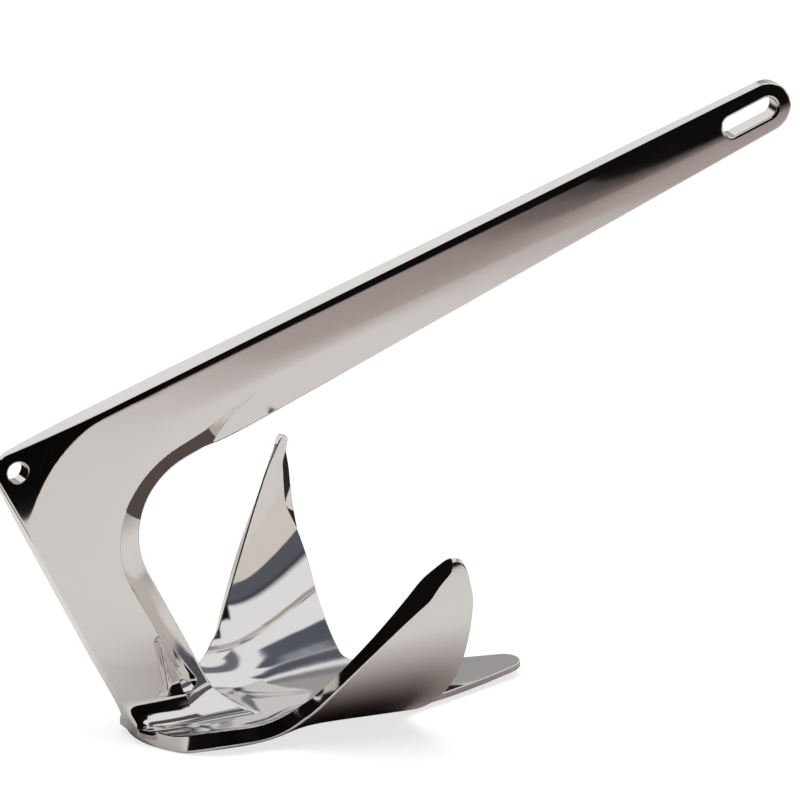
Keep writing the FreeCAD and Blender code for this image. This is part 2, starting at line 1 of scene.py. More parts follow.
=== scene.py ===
# %% [markdown]
# A claw anchor is one casting of stainless steel, ground and polished until it mirrors the room.
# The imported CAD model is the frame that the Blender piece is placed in. The CAD mesh is facets,
# and a mirror shows every facet, so the casting is built again here from the same sizes, as a
# dense mesh whose normals are worked out from the curves themselves.

# %% Load the frame
import math

import bpy
import numpy as np
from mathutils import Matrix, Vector
from mathutils.geometry import delaunay_2d_cdt


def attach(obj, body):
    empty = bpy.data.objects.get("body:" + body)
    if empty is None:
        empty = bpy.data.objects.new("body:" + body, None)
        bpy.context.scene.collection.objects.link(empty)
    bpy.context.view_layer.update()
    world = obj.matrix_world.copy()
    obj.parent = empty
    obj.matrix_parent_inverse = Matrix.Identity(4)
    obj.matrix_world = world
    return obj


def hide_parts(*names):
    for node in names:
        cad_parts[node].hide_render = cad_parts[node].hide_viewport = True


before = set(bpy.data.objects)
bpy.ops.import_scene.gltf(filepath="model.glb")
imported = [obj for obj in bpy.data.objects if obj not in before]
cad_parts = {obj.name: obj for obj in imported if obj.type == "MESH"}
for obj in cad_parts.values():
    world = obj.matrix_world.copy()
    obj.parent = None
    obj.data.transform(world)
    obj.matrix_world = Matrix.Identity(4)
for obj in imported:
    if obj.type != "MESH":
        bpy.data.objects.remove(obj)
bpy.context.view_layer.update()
NODE = "claw_anchor"
MM = 0.001


def in_scene(name, data):
    """An object for some data, linked to the scene."""
    thing = bpy.data.objects.new(name, data)
    bpy.context.scene.collection.objects.link(thing)
    return thing


# %% [markdown]
# The photograph was taken from far away, from the anchor's right, a little above and behind it. A
# camera that stands far off with a very long lens keeps parallel lines parallel, as they are there.

# %% Camera
AZIMUTH = math.radians(-26)
ELEVATION = math.radians(20)
TARGET = Vector((0.199, 0.0, 0.223))
CAMERA_DISTANCE = 14.0
VIEW_WIDTH = 0.573
SENSOR_WIDTH = 36.0

camera_data = bpy.data.cameras.new("camera")
camera = in_scene("camera", camera_data)
toward = Vector((math.sin(-AZIMUTH) * math.cos(ELEVATION), math.cos(AZIMUTH) * math.cos(ELEVATION),
                 -math.sin(ELEVATION)))
camera.location = TARGET - toward * CAMERA_DISTANCE
camera.rotation_euler = toward.to_track_quat("-Z", "Y").to_euler()
camera_data.sensor_width = SENSOR_WIDTH
camera_data.lens = SENSOR_WIDTH * CAMERA_DISTANCE / VIEW_WIDTH
camera_data.clip_end = 60
bpy.context.scene.camera = camera
bpy.context.scene.view_settings.view_transform = "Standard"
print("camera at", [round(v, 3) for v in camera.location], "lens", round(camera_data.lens, 1))

# %% [markdown]
# The shank is a bent flat arm. Its outline in the side view is straight sides joined by arcs,
# so the whole outline follows from a few centres, radii and slopes, in millimetres.

# %% Shank outline
TRIP, TRIP_HOLE_ROUND, ELBOW_ROUND = np.array((-105.0, 218.0)), 7.5, 16.0
EYE, EYE_ROUND = np.array((490.0, 402.0)), 18.6
SLOT_REACH, SLOT_HALF = 30.0, 7.5
HEEL = np.array((-13.0, 4.0))
FOOT = np.array((63.5, 0.0))
ARM_SLOPE, LEAD_SLOPE = 20.8, 180 - 62.4
THROAT_ROUND, TAIL_ROUND = 58.5, 50.0
FOOT_TOP = 32.0


def polar(angle, reach=1.0):
    """A step in the side view, its angle in degrees up from forward."""
    turn = math.radians(angle)
    return np.array((math.cos(turn), math.sin(turn))) * reach


def bearing(step):
    """The angle of a step in degrees."""
    return math.degrees(math.atan2(step[1], step[0]))


def arc(centre, radius, start, end, pace=2.0):
    """Points along an arc between two angles in degrees."""
    count = max(2, round(abs(math.radians(end - start)) * radius / pace))
    return [centre + polar(start + (end - start) * step / count, radius) for step in range(count + 1)]


def resample(points, pace):
    """Points at an even pace along a line of points, its two ends kept."""
    points = np.asarray(points, float)
    run = np.concatenate(([0], np.cumsum(np.linalg.norm(np.diff(points, axis=0), axis=1))))
    places = np.linspace(0, run[-1], max(2, round(run[-1] / pace) + 1))
    return np.column_stack([np.interp(places, run, points[:, axis]) for axis in range(2)])


eye_reach = np.linalg.norm(EYE - TRIP)
TOP_SLOPE = bearing(EYE - TRIP)
top_angle = TOP_SLOPE + math.degrees(math.acos((ELBOW_ROUND - EYE_ROUND) / eye_reach))
UNDER_OUT, LEAD_OUT = polar(ARM_SLOPE - 90), polar(LEAD_SLOPE - 90)
THROAT = np.linalg.solve(
    np.array([UNDER_OUT, LEAD_OUT]),
    np.array([UNDER_OUT @ EYE + EYE_ROUND + THROAT_ROUND, LEAD_OUT @ FOOT + THROAT_ROUND]))
back = TRIP - HEEL
rear_angle = bearing(back) + math.degrees(math.asin(ELBOW_ROUND / np.linalg.norm(back))) + 90
rear_top = TRIP + polar(rear_angle, ELBOW_ROUND)
TAIL_LEVEL = 10.3
TAIL = np.linalg.solve(np.array([LEAD_OUT, (0.0, 1.0)]),
                       np.array([LEAD_OUT @ FOOT + TAIL_ROUND, TAIL_LEVEL + TAIL_ROUND]))


def rear_x(level):
    """The rear edge's place forward at a level."""
    return HEEL[0] + (rear_top[0] - HEEL[0]) * (level - HEEL[1]) / (rear_top[1] - HEEL[1])


def lead_x(level):
    """The leading edge's place forward at a level, with the tail arc that runs it into the floor."""
    straight = FOOT[0] + level / math.tan(math.radians(LEAD_SLOPE))
    drop = np.clip(TAIL[1] - level, 0, TAIL_ROUND)
    curved = TAIL[0] - np.sqrt(np.maximum(TAIL_ROUND ** 2 - drop ** 2, 0))
    touch = TAIL[1] - TAIL_ROUND * LEAD_OUT[1]
    return np.where(level > touch, straight, curved)


levels = np.linspace(FOOT_TOP, TAIL[1] - TAIL_ROUND * LEAD_OUT[1], 4)
outline = resample(
    [(rear_x(FOOT_TOP), FOOT_TOP)]
    + arc(TRIP, ELBOW_ROUND, rear_angle, top_angle, 0.5)
    + arc(EYE, EYE_ROUND, top_angle, ARM_SLOPE - 90, 0.5)
    + arc(THROAT, THROAT_ROUND, ARM_SLOPE + 90, LEAD_SLOPE + 90, 0.5)
    + [(float(lead_x(level)), level) for level in levels[::-1]], 1.6)
print("shank outline:", len(outline), "points, throat centre", THROAT.round(1))

# %% [markdown]
# The flanks are fullest along a spine that follows the bend, and thin towards the edges. They fall
# off faster in a narrow band along the arm's top, and past the elbow's corner. Such a surface could
# be sculpted, but here the half thickness at any point of the side view is one sum. The flank is
# then a relief over the outline, and its normals come from the same sum.

# %% Shank thickness
SPINE_ROUND = THROAT_ROUND + 34.0
ELBOW_HALF, EYE_HALF = 9.4, 7.8
SPINE_END = EYE + UNDER_OUT * 8
to_end = SPINE_END - THROAT
spine_turn = bearing(to_end) + math.degrees(math.acos(SPINE_ROUND / np.linalg.norm(to_end)))
spine_ahead, spine_out = polar(spine_turn - 90), polar(spine_turn)
spine_run = np.linalg.norm(SPINE_END - THROAT - spine_out * SPINE_ROUND)
LOW_WAY, TOP_OUT = polar(LEAD_SLOPE + 180), polar(top_angle)
# The band along the top edge: its width, how much it falls, and where it fades in
TOP_BAND, TOP_FALL, BAND_START, BAND_FADE = 6.5, 1.3, 10, 70
# The elbow's corner: the arc that the fall starts at, its slope, and where it fades out
CORNER_MIDDLE, CORNER_ROUND = np.array((2.0, 158.0)), 101.0
CORNER_STEEP, CORNER_BEND, CORNER_FRONT, CORNER_FADE = 0.15, 1.6, 15, 60
CROWN_BEND, LOWER_STEEP = 8.0, 0.08
# How steeply the flank falls from the spine to the top edge, at shares of the way to the eye
CROWN = np.array([(0, 0.01), (0.16, 0.035), (0.40, 0.05), (0.65, 0.08), (0.79, 0.115), (0.92, 0.15)])


def ease(value):
    """A smooth step from 0 to 1."""
    value = np.clip(value, 0, 1)
    return value * value * (3 - 2 * value)


def along(x, z, way):
    """How far points of the side view lie along a direction."""
    return x * way[0] + z * way[1]


def flank(x, z):
    """Half thickness of the shank before the bevel."""
    px, pz = x - THROAT[0], z - THROAT[1]
    ahead, below, out = along(px, pz, spine_ahead), along(px, pz, LOW_WAY), along(px, pz, LEAD_OUT)
    offset = np.where(below > 0, -out, np.hypot(px, pz)) - SPINE_ROUND
    eye_side = (ahead > 0) & ~((below > 0) & (out < 0))
    offset = np.where(eye_side, along(px, pz, spine_out) - SPINE_ROUND, offset)
    part = np.clip(np.where(eye_side, ahead / spine_run, 0), 0, 1.1)
    half = ELBOW_HALF + (EYE_HALF - ELBOW_HALF) * part
    steep = np.where(offset > 0, np.interp(part, CROWN[:, 0], CROWN[:, 1]), LOWER_STEEP)
    fall = steep * (np.hypot(offset, CROWN_BEND) - CROWN_BEND)
    from_top = EYE_ROUND + (EYE[0] - x) * TOP_OUT[0] + (EYE[1] - z) * TOP_OUT[1]
    band = np.maximum(1 - from_top / TOP_BAND, 0) ** 2 * ease((x - TRIP[0] - BAND_START) / BAND_FADE)
    past = np.maximum(np.hypot(x - CORNER_MIDDLE[0], z - CORNER_MIDDLE[1]) - CORNER_ROUND, 0)
    corner = CORNER_STEEP * (np.hypot(past, CORNER_BEND) - CORNER_BEND)
    return half - fall - TOP_FALL * band - corner * ease((CORNER_FRONT - x) / CORNER_FADE)


print("flank: half thickness", ELBOW_HALF, "at the elbow and", EYE_HALF, "at the eye")

# %% [markdown]
# Inside the bend a bevel is ground along the edge. It starts at the foot, where it is widest, and
# runs out in a point up the arm. Over the foot lies a thumb-shaped hollow. Both are ground into the
# flank, so each is a depth that is taken off the half thickness. Borders that wander like this are
# easiest kept as a short table of places and widths, with the corners between its rows rounded.

# %% Bevel and hollow
# Place along the inside edge counted from the throat's upper end, the bevel's border in from the
# edge, the border where it stops growing deeper, and its slope
BEVEL = np.array([
    (-260, 26.0, -9.0, 0.30), (-215, 24.0, -9.0, 0.30), (-180, 19.0, -9.0, 0.30),
    (-131, 17.5, -9.0, 0.27), (-110, 18.3, -9.0, 0.26), (-79, 18.6, -9.0, 0.27),
    (-57, 17.8, -9.0, 0.30), (-41, 16.4, -9.0, 0.38), (-20, 14.8, -9.0, 0.40),
    (-4, 14.2, -9.0, 0.40), (16, 15.4, -8.0, 0.40), (22, 16.6, 2.5, 0.22), (32, 18.2, 10.0, 0.18),
    (44, 20.0, 17.0, 0.16), (67, 23.0, 23.0, 0.14), (90, 24.0, 24.0, 0.1)])
PLACES = np.arange(-260, 91, 1.0)
BORDER_BLUR = 4
BEVEL_END, BEVEL_FOOT, BEVEL_FADE = 67, 14, 20
POCKET = [np.array((4.0, 73.0)), np.array((12.5, 35.0)), np.array((30.0, 37.0))]
POCKET_ROUND, POCKET_DEEP, POCKET_LIP = 5.0, 3.4, 9.0


def smoothed(column):
    """One column of the bevel's table at each millimetre, its corners rounded."""
    values = np.pad(np.interp(PLACES, BEVEL[:, 0], BEVEL[:, column]), BORDER_BLUR, mode="edge")
    span = 2 * BORDER_BLUR + 1
    return np.convolve(values, np.ones(span) / span, mode="valid")


BEVEL_OUTER, BEVEL_INNER, BEVEL_STEEP = smoothed(1), smoothed(2), smoothed(3)


def from_edge(x, z):
    """Place along the inside edge, and distance in from it, at points of the side view."""
    px, pz = x - THROAT[0], z - THROAT[1]
    arm_run, low_run = along(px, pz, polar(ARM_SLOPE)), along(px, pz, LOW_WAY)
    swing = math.radians(LEAD_SLOPE - ARM_SLOPE)
    low_end = np.full_like(px, math.radians(LEAD_SLOPE))
    angle = np.unwrap(np.stack([low_end, np.arctan2(pz, px)]), axis=0)[1]
    place = -(angle - math.radians(ARM_SLOPE + 90)) * THROAT_ROUND
    depth = np.hypot(px, pz) - THROAT_ROUND
    on_low = low_run > 0
    place = np.where(on_low, -swing * THROAT_ROUND - low_run, place)
    depth = np.where(on_low, -along(px, pz, LEAD_OUT) - THROAT_ROUND, depth)
    on_arm = (arm_run > 0) & ~(on_low & (depth > 0))
    place = np.where(on_arm, arm_run, place)
    depth = np.where(on_arm, -along(px, pz, UNDER_OUT) - THROAT_ROUND, depth)
    return place, depth


def pocket_distance(x, z):
    """Distance outside the thumb-shaped hollow's outline, negative within it."""
    nearest, inside = np.full_like(x, 1e9), np.ones_like(x, bool)
    for start, end in zip(POCKET, POCKET[1:] + POCKET[:1]):
        edge, ahead, up = end - start, x - start[0], z - start[1]
        share = np.clip((ahead * edge[0] + up * edge[1]) / (edge @ edge), 0, 1)
        nearest = np.minimum(nearest, np.hypot(ahead - edge[0] * share, up - edge[1] * share))
        inside &= edge[0] * up - edge[1] * ahead > 0
    return np.where(inside, -nearest, nearest) - POCKET_ROUND


def ground_off(x, z):
    """Depth that the bevel and the hollow take off the flank."""
    place, depth = from_edge(x, z)
    outer = np.interp(place, PLACES, BEVEL_OUTER)
    inner = np.interp(place, PLACES, BEVEL_INNER)
    steep = np.interp(place, PLACES, BEVEL_STEEP)
    width = np.maximum(outer - inner, 0.05)
    part = np.clip((outer - depth) / width, 0, 1)
    bevel = steep * width * part * (place < BEVEL_END) * ease((z - BEVEL_FOOT) / BEVEL_FADE)
    inward = np.clip(-pocket_distance(x, z) / POCKET_LIP, 0, 1)
    return bevel + POCKET_DEEP * (1 - (1 - inward) ** 2)


print("bevel:", BEVEL_OUTER.min().round(1), "to", BEVEL_OUTER.max().round(1), "mm wide")

# %% [markdown]
# The scoop's floor is thick at the heel and thins forward, and its toe rises a little. The shank
# doesn't simply stand on it: a hollow of 20 mm radius spreads its foot out, as castings have, since
# a sharp inside corner would crack. That spread is added to the flank's half thickness.

# %% Floor and foot hollow
FLOOR_GRIND, FLOOR_THICK, TIP_THICK = 0.8, 12.8, 4.6
PALM_TIP, PALM_ROOT, TOE_START, TOE_RISE = 294.0, 195.0, 115.0, 7.0
ROOT_ROUND, HOLLOW_LEAD = 20.0, 13.0
SLOPE_STEP = 0.05


def thickness(x):
    """Thickness of the scoop: full at the heel, thinning forward."""
    return TIP_THICK + (FLOOR_THICK - TIP_THICK) * np.maximum(0, 1 - (np.maximum(x, 0) / PALM_ROOT) ** 2)


def floor_lift(x):
    """Rise of the scoop's floor towards the middle claw's tip."""
    return TOE_RISE * (np.maximum(0, x - TOE_START) / (PALM_TIP - TOE_START)) ** 2


def floor_top(x):
    """Height of the scoop's floor over the ground in its middle plane."""
    return thickness(x) - FLOOR_GRIND + floor_lift(x)


def shank_half(x, z):
    """Half thickness of the shank, with the hollow that flares its foot out to the floor."""
    level = floor_top(np.minimum(x, TAIL[0]))
    height = np.clip((z - level) / (FOOT_TOP - level), 0, 1)
    flare = ROOT_ROUND * (1 - np.sqrt(np.maximum(1 - (1 - height) ** 2, 0)))
    from_rear = np.clip((x - rear_x(z)) / HOLLOW_LEAD, 0, 1)
    flare = flare * np.sqrt(1 - (1 - from_rear) ** 2)
    return flank(x, z) - ground_off(x, z) + flare


def shank_normal(x, z):
    """Unit normals of the left flank."""
    z = np.maximum(z, floor_top(x) + SLOPE_STEP)
    across = (shank_half(x + SLOPE_STEP, z) - shank_half(x - SLOPE_STEP, z)) / (2 * SLOPE_STEP)
    up = (shank_half(x, z + SLOPE_STEP) - shank_half(x, z - SLOPE_STEP)) / (2 * SLOPE_STEP)
    normal = np.stack([-across, np.ones_like(across), -up], axis=1)
    return normal / np.linalg.norm(normal, axis=1, keepdims=True)


samples = np.array([(8, 100), (20, 60), (300, 330), (-95, 222), (440, 380)], float)
print("half thickness at", len(samples), "points:", shank_half(*samples.T).round(2))

# %% [markdown]
# The relief needs a fine, even net of points. Rings of points follow the outline and the holes,
# lines of points follow the bevel's borders, so they stay crisp, and grids fill what is between.
# Blender's own Delaunay call joins them all into triangles.

# %% Nets of points
GRID_RISE = 0.866


def normals_along(line, closed):
    """Unit directions to the left of the way along a line of points."""
    line = np.asarray(line, float)
    if closed:
        ahead = np.roll(line, -1, axis=0) - np.roll(line, 1, axis=0)
    else:
        ahead = np.gradient(line, axis=0)
    ahead /= np.linalg.norm(ahead, axis=1, keepdims=True)
    return np.column_stack([-ahead[:, 1], ahead[:, 0]])


def distance_to(points, line):
    """Distance from each point to a line of points."""
    best = np.full(len(points), 1e9)
    for start in range(0, len(points), 2000):
        part = points[start:start + 2000]
        best[start:start + 2000] = np.sqrt(
            ((part[:, None, :] - line[None, :, :]) ** 2).sum(axis=2)).min(axis=1)
    return best


def within(points, loop):
    """Which points lie inside a closed loop."""
    inside = np.zeros(len(points), bool)
    for (x0, z0), (x1, z1) in zip(loop, np.roll(loop, -1, axis=0)):
        crosses = (z0 > points[:, 1]) != (z1 > points[:, 1])
        if crosses.any():
            place = x0 + (points[:, 1] - z0) * (x1 - x0) / (z1 - z0 if z1 != z0 else 1)
            inside ^= crosses & (points[:, 0] < place)
    return inside


def grid(low, high, pace):
    """Points of a triangular grid over a box."""
    rows = []
    for index, level in enumerate(np.arange(low[1], high[1], pace * GRID_RISE)):
        shift = pace / 2 * (index % 2)
        xs = np.arange(low[0] + shift, high[0], pace)
        rows.append(np.column_stack([xs, np.full_like(xs, level)]))
    return np.concatenate(rows)


def net(loops, points):
    """Triangles over the inside of the first loop, less the other loops, through points."""
    places, edges = [], []
    for loop in loops:
        first = len(places)
        places += [Vector(p) for p in loop]
        edges += [(first + k, first + (k + 1) % len(loop)) for k in range(len(loop))]
    fixed = len(places)
    places += [Vector(p) for p in points]
    found, _, faces, origins, _, _ = delaunay_2d_cdt(places, edges, [], 0, 1e-6)
    found = np.array(found)
    faces = np.array([face for face in faces if len(face) == 3])
    middles = found[faces].mean(axis=1)
    keep = within(middles, np.asarray(loops[0]))
    for loop in loops[1:]:
        keep &= ~within(middles, np.asarray(loop))
    order = {origin: new for new, group in enumerate(origins) for origin in group}
    loop_index = [order[k] for k in range(fixed)]
    return found, faces[keep], loop_index


# %% [markdown]
# Each surface is gathered in a store of its own: points, a normal for each, and faces. The shank's
# left half comes first, and is mirrored later. A hard corner on polished steel looks wrong, because
# a real edge is worn round and catches a line of light. Each edge is rounded by rows of points that
# turn from the wall to the flank, with normals that turn along with them.

# %% Surfaces and round edges
EDGE_ROUND, SLOT_LIP, TRIP_LIP = 1.5, 2.2, 1.2
RING_TURNS = np.radians((0, 22.5, 45, 67.5, 90))


def new_skin():
    """An empty surface: its points, their normals and its faces."""
    return {"places": [], "normals": [], "faces": []}


def add(skin, places, normals):
    """Keep points of a surface with their normals, and give their numbers."""
    first = len(skin["places"])
    skin["places"].extend(np.asarray(places).tolist())
    skin["normals"].extend(np.asarray(normals).tolist())
    return np.arange(first, first + len(places))


def join(skin, row, following, closed=False):
    """Add the faces between two rows of point numbers."""
    for k in range(len(row) if closed else len(row) - 1):
        after = (k + 1) % len(row)
        skin["faces"].append((row[k], row[after], following[after], following[k]))


def unit(vectors):
    """The same directions at length 1."""
    return vectors / np.linalg.norm(vectors, axis=1, keepdims=True)


def round_row(line, outward, shift, soft, turn):
    """Points and normals of one row that rounds the flank's edge along a line."""
    inner = line + shift * soft
    place = line + shift * soft * (1 - math.cos(turn))
    depth = shank_half(inner[:, 0], inner[:, 1]) - soft * (1 - math.sin(turn))
    normal = shank_normal(inner[:, 0], inner[:, 1]) * math.sin(turn)
    normal[:, 0] += outward[:, 0] * math.cos(turn)
    normal[:, 2] += outward[:, 1] * math.cos(turn)
    return np.column_stack([place[:, 0], depth, place[:, 1]]), unit(normal)


half = new_skin()
print("edges: rounded by", len(RING_TURNS), "rows of points")

# %% [markdown]
# The shank has two holes: the slot at the eye takes the shackle's pin, and the small round one in
# the elbow's corner takes a trip line. Cutting them with a Boolean modifier would leave ragged
# triangles in a mirror. As loops of points of their own they can have round rims like the edge's.

# %% Outline rows and holes
# The outline runs clockwise, so the metal is on its right
outward = normals_along(outline, False)
shift = -outward
shift[0], shift[-1] = (-1 / outward[0][0], 0), (-1 / outward[-1][0], 0)
edge_rows = [add(half, *round_row(outline, outward, shift, EDGE_ROUND, turn)) for turn in RING_TURNS[:-1]]
inner_edge = outline + shift * EDGE_ROUND

slot_slope = (TOP_SLOPE + ARM_SLOPE) / 2
slot_back = EYE - polar(slot_slope, SLOT_REACH)
slot_side = polar(slot_slope + 90, SLOT_HALF)
slot = np.array(
    arc(EYE, SLOT_HALF, slot_slope - 90, slot_slope + 90, 0.8)
    + list(resample([EYE + slot_side, slot_back + slot_side], 1.5))[1:-1]
    + arc(slot_back, SLOT_HALF, slot_slope + 90, slot_slope + 270, 0.8)
    + list(resample([slot_back - slot_side, EYE - slot_side], 1.5))[1:-1])
trip_hole = np.array(arc(TRIP, TRIP_HOLE_ROUND, 0, 360, 0.7)[:-1])
hole_rows, hole_loops = [], []
for hole, lip in ((slot, SLOT_LIP), (trip_hole, TRIP_LIP)):
    into_hole = normals_along(hole, True)
    hole_rows.append([add(half, *round_row(hole, into_hole, -into_hole, lip, turn))
                      for turn in RING_TURNS[:-1]])
    hole_loops.append(hole - into_hole * lip)
print("holes:", [len(hole) for hole in (slot, trip_hole)], "points round them")

# %% [markdown]
# A mirror shows where one ground surface meets the next, so points are laid right along the bevel's
# two borders, round the thumb-shaped hollow and along the thin band at the arm's top. Where the
# relief is smooth, a wider grid is enough, which keeps the mesh light.

# %% Lines on the flank
bottom_xs = np.arange(inner_edge[0][0] + 1.5, inner_edge[-1][0] - 1, 1.5)[::-1]
bottom = np.column_stack([bottom_xs, np.full(len(bottom_xs), FOOT_TOP)])
face_loop = np.concatenate([inner_edge, bottom])


def border(table, first, last, aside=0.0):
    """A line along one border of the bevel, at a place along the inside edge after another."""
    line = []
    for place in np.arange(first, last, 1.2):
        depth = np.interp(place, PLACES, table) + aside
        if place >= 0:
            start, out = THROAT - UNDER_OUT * THROAT_ROUND + polar(ARM_SLOPE, place), -UNDER_OUT
        else:
            turn = math.degrees(-place / THROAT_ROUND)
            swing = LEAD_SLOPE - ARM_SLOPE
            out = polar(ARM_SLOPE + 90 + min(turn, swing))
            beyond = max(0, math.radians(turn - swing)) * THROAT_ROUND
            start = THROAT + out * THROAT_ROUND - polar(LEAD_SLOPE, beyond)
        line.append(start + out * depth)
    return np.array(line)


low_end = -math.radians(LEAD_SLOPE - ARM_SLOPE) * THROAT_ROUND
pocket_line = []
for corner, before, after in zip(POCKET, POCKET[2:] + POCKET[:2], POCKET[1:] + POCKET[:1]):
    start, end = bearing(corner - before) - 90, bearing(after - corner) - 90
    end += 360 if end < start else 0
    pocket_line += arc(corner, POCKET_ROUND, start, end, 0.8)
pocket_line = resample(pocket_line + pocket_line[:1], 1.0)[:-1]
pocket_middle = sum(POCKET) / 3
top_line = resample([TRIP + TOP_OUT * ELBOW_ROUND, EYE + TOP_OUT * EYE_ROUND], 1.8)
creases = [top_line - TOP_OUT * inset for inset in (2.4, 3.3, 4.2, 5.1, 6.0, 7.0, 8.2)]
creases += [border(BEVEL_OUTER, low_end - 90, 64, aside) for aside in (-0.7, 0, 0.7)]
creases += [border(BEVEL_INNER, 16.5, 62, aside) for aside in (-0.5, 0)]
lips = [pocket_line + unit(pocket_line - pocket_middle) * aside for aside in (0.6, 0, -0.8, -1.8, -3.2)]
print("flank lines:", len(creases), "along the borders,", len(lips), "round the hollow")

# %% [markdown]
# Two grids fill the flank, a fine one by the bevel, the hollow, the corner and the eye, and a coarse
# one elsewhere. Points too near to a line or a loop are left out, because they would make slivers.

# %% Flank
FINE_PACE, COARSE_PACE = 1.6, 3.2
NEAR_BEVEL, NEAR_HOLLOW, NEAR_CORNER, NEAR_EYE = 6, 6, 4, 60


def free(points, line, gap):
    """The points that keep a gap from a line of points."""
    return points[distance_to(points, line) > gap]


def clear_of(points, loops, gap):
    """The points inside the first loop and outside the others, and a gap from all of them."""
    keep = within(points, loops[0])
    for loop in loops[1:]:
        keep &= ~within(points, loop)
    points = points[keep]
    for loop in loops:
        points = free(points, np.asarray(loop), gap)
    return points


loops = [face_loop] + hole_loops
hollow_points = np.concatenate(lips)
lines = [clear_of(line, loops, 0.8) for line in lips]
lines += [free(clear_of(line, loops, 0.8), hollow_points, 0.5) for line in creases]
line_points = np.concatenate(lines)
low_corner, high_corner = outline.min(axis=0), outline.max(axis=0)
fine = free(clear_of(grid(low_corner, high_corner, FINE_PACE), loops, 1.0), line_points, 0.6)
place, depth = from_edge(fine[:, 0], fine[:, 1])
near_bevel = (depth < np.interp(place, PLACES, BEVEL_OUTER) + NEAR_BEVEL) & (place < 75)
near_hollow = (fine[:, 1] < 95) & (pocket_distance(fine[:, 0], fine[:, 1]) < NEAR_HOLLOW)
past_corner = np.hypot(*(fine - CORNER_MIDDLE).T) - CORNER_ROUND
near_corner = (past_corner > -NEAR_CORNER) & (fine[:, 0] < CORNER_FRONT)
near_eye = np.hypot(*(fine - EYE).T) < NEAR_EYE
fine = fine[near_bevel | near_hollow | near_corner | near_eye]
coarse = clear_of(grid(low_corner, high_corner, COARSE_PACE), loops, 1.8)
coarse = free(free(coarse, line_points, 1.6), fine, 1.7)
flat, triangles, loop_index = net(loops, np.concatenate([line_points, fine, coarse]))
print("flank:", len(flat), "points,", len(triangles), "triangles")
flank_places = np.column_stack([flat[:, 0], shank_half(flat[:, 0], flat[:, 1]), flat[:, 1]])
flank_index = add(half, flank_places, shank_normal(flat[:, 0], flat[:, 1]))
half["faces"] += [tuple(flank_index[face]) for face in triangles]
loop_index = flank_index[loop_index]
edge_index = loop_index[:len(inner_edge)]
bottom_index = loop_index[len(inner_edge):len(face_loop)]
for row, following in zip(edge_rows, edge_rows[1:] + [edge_index]):
    join(half, row, following)
first = len(face_loop)
for rows, loop in zip(hole_rows, hole_loops):
    rim = loop_index[first:first + len(loop)]
    for row, following in zip(rows, rows[1:] + [rim]):
        join(half, row, following, closed=True)
    first += len(loop)

# %% [markdown]
# Below this the foot spreads: on each side a hollow of 20 mm radius carries the flank out to the
# floor, and the leading edge runs forward in an arc of its own. Rows of points follow the hollow
# down, each a little further out than the one above.

# %% Foot
LEVELS = np.radians(np.linspace(0, 90, 15))
SKIRT, MOST_SHIFT = 6.0, 4
inner_run = (bottom[::-1, 0] - inner_edge[0][0]) / (inner_edge[-1][0] - inner_edge[0][0])


def front_out(level):
    """The outward direction of the leading edge at a level."""
    small = 0.02
    slope = float(lead_x(level + small) - lead_x(level)) / small
    return np.array((1.0, -slope)) / math.hypot(1, slope)


def foot_row(turn):
    """One row of the foot from its rear edge to its leading edge."""
    share = 1 - math.sin(turn)
    ends = []
    for edge_x in (rear_x, lead_x):
        x = float(edge_x(FOOT_TOP))
        for _ in range(6):
            level = float(floor_top(x) + (FOOT_TOP - floor_top(x)) * share)
            x = float(edge_x(level))
        ends.append((x, level))
    (rear, _), (front, front_level) = ends
    front_way = front_out(front_level)
    rear_in, front_in = (-1 / outward[0][0], 0), (-min(1 / front_way[0], MOST_SHIFT), 0)
    edges = []
    for (x, level), way, step in ((ends[0], outward[0], rear_in), (ends[1], front_way, front_in)):
        line, way, step = np.array([(x, level)]), np.array([way]), np.array([step])
        edges.append([round_row(line, way, step, EDGE_ROUND, ring) for ring in RING_TURNS])
    start, end = rear + rear_in[0] * EDGE_ROUND, front + front_in[0] * EDGE_ROUND
    xs = start + (end - start) * inner_run
    zs = floor_top(xs) + (FOOT_TOP - floor_top(xs)) * share
    middle = np.column_stack([xs, shank_half(xs, zs), zs])
    parts = edges[0] + [(middle, shank_normal(xs, zs))] + edges[1][::-1]
    return np.concatenate([part[0] for part in parts]), np.concatenate([part[1] for part in parts])


row = np.concatenate([[ring[0] for ring in edge_rows], [edge_index[0]], bottom_index[::-1],
                      [edge_index[-1]], [ring[-1] for ring in edge_rows[::-1]]]).astype(int)
rear_chain, front_chain = [row[0]], [row[-1]]
foot_rows = [add(half, *foot_row(turn)) for turn in LEVELS[1:]]
# A skirt below the last row sinks the foot into the scoop's floor
skirt = np.array([half["places"][k] for k in foot_rows[-1]]) - np.array((0, 0, SKIRT))
foot_rows.append(add(half, skirt, np.tile((0.0, 0.0, -1.0), (len(skirt), 1))))
for following in foot_rows:
    join(half, row, following)
    row = following
    rear_chain.append(row[0])
    front_chain.append(row[-1])
print("foot:", len(LEVELS), "rows of", len(row), "points")

# %% [markdown]
# The anchor is the same on both sides, so the right half is the left one mirrored. A Mirror modifier
# would do it too, but the normals here are set one by one, so points, normals and faces are mirrored as
# lists. Plain walls then join the halves round the outline and through the holes.

# %% Both halves
half_count = len(half["places"])
places, facing = np.array(half["places"]), np.array(half["normals"])
flip = np.array((1.0, -1.0, 1.0))
shank = {
    "places": np.concatenate([places, places * flip]),
    "normals": np.concatenate([facing, facing * flip]),
    "faces": half["faces"] + [tuple(k + half_count for k in face[::-1]) for face in half["faces"]]}
outer_wall = rear_chain[:0:-1] + list(edge_rows[0]) + front_chain[1:]
for line, closed in [(outer_wall, False)] + [(rows[0], True) for rows in hole_rows] + [(row, False)]:
    join(shank, line, np.array(line) + half_count, closed)


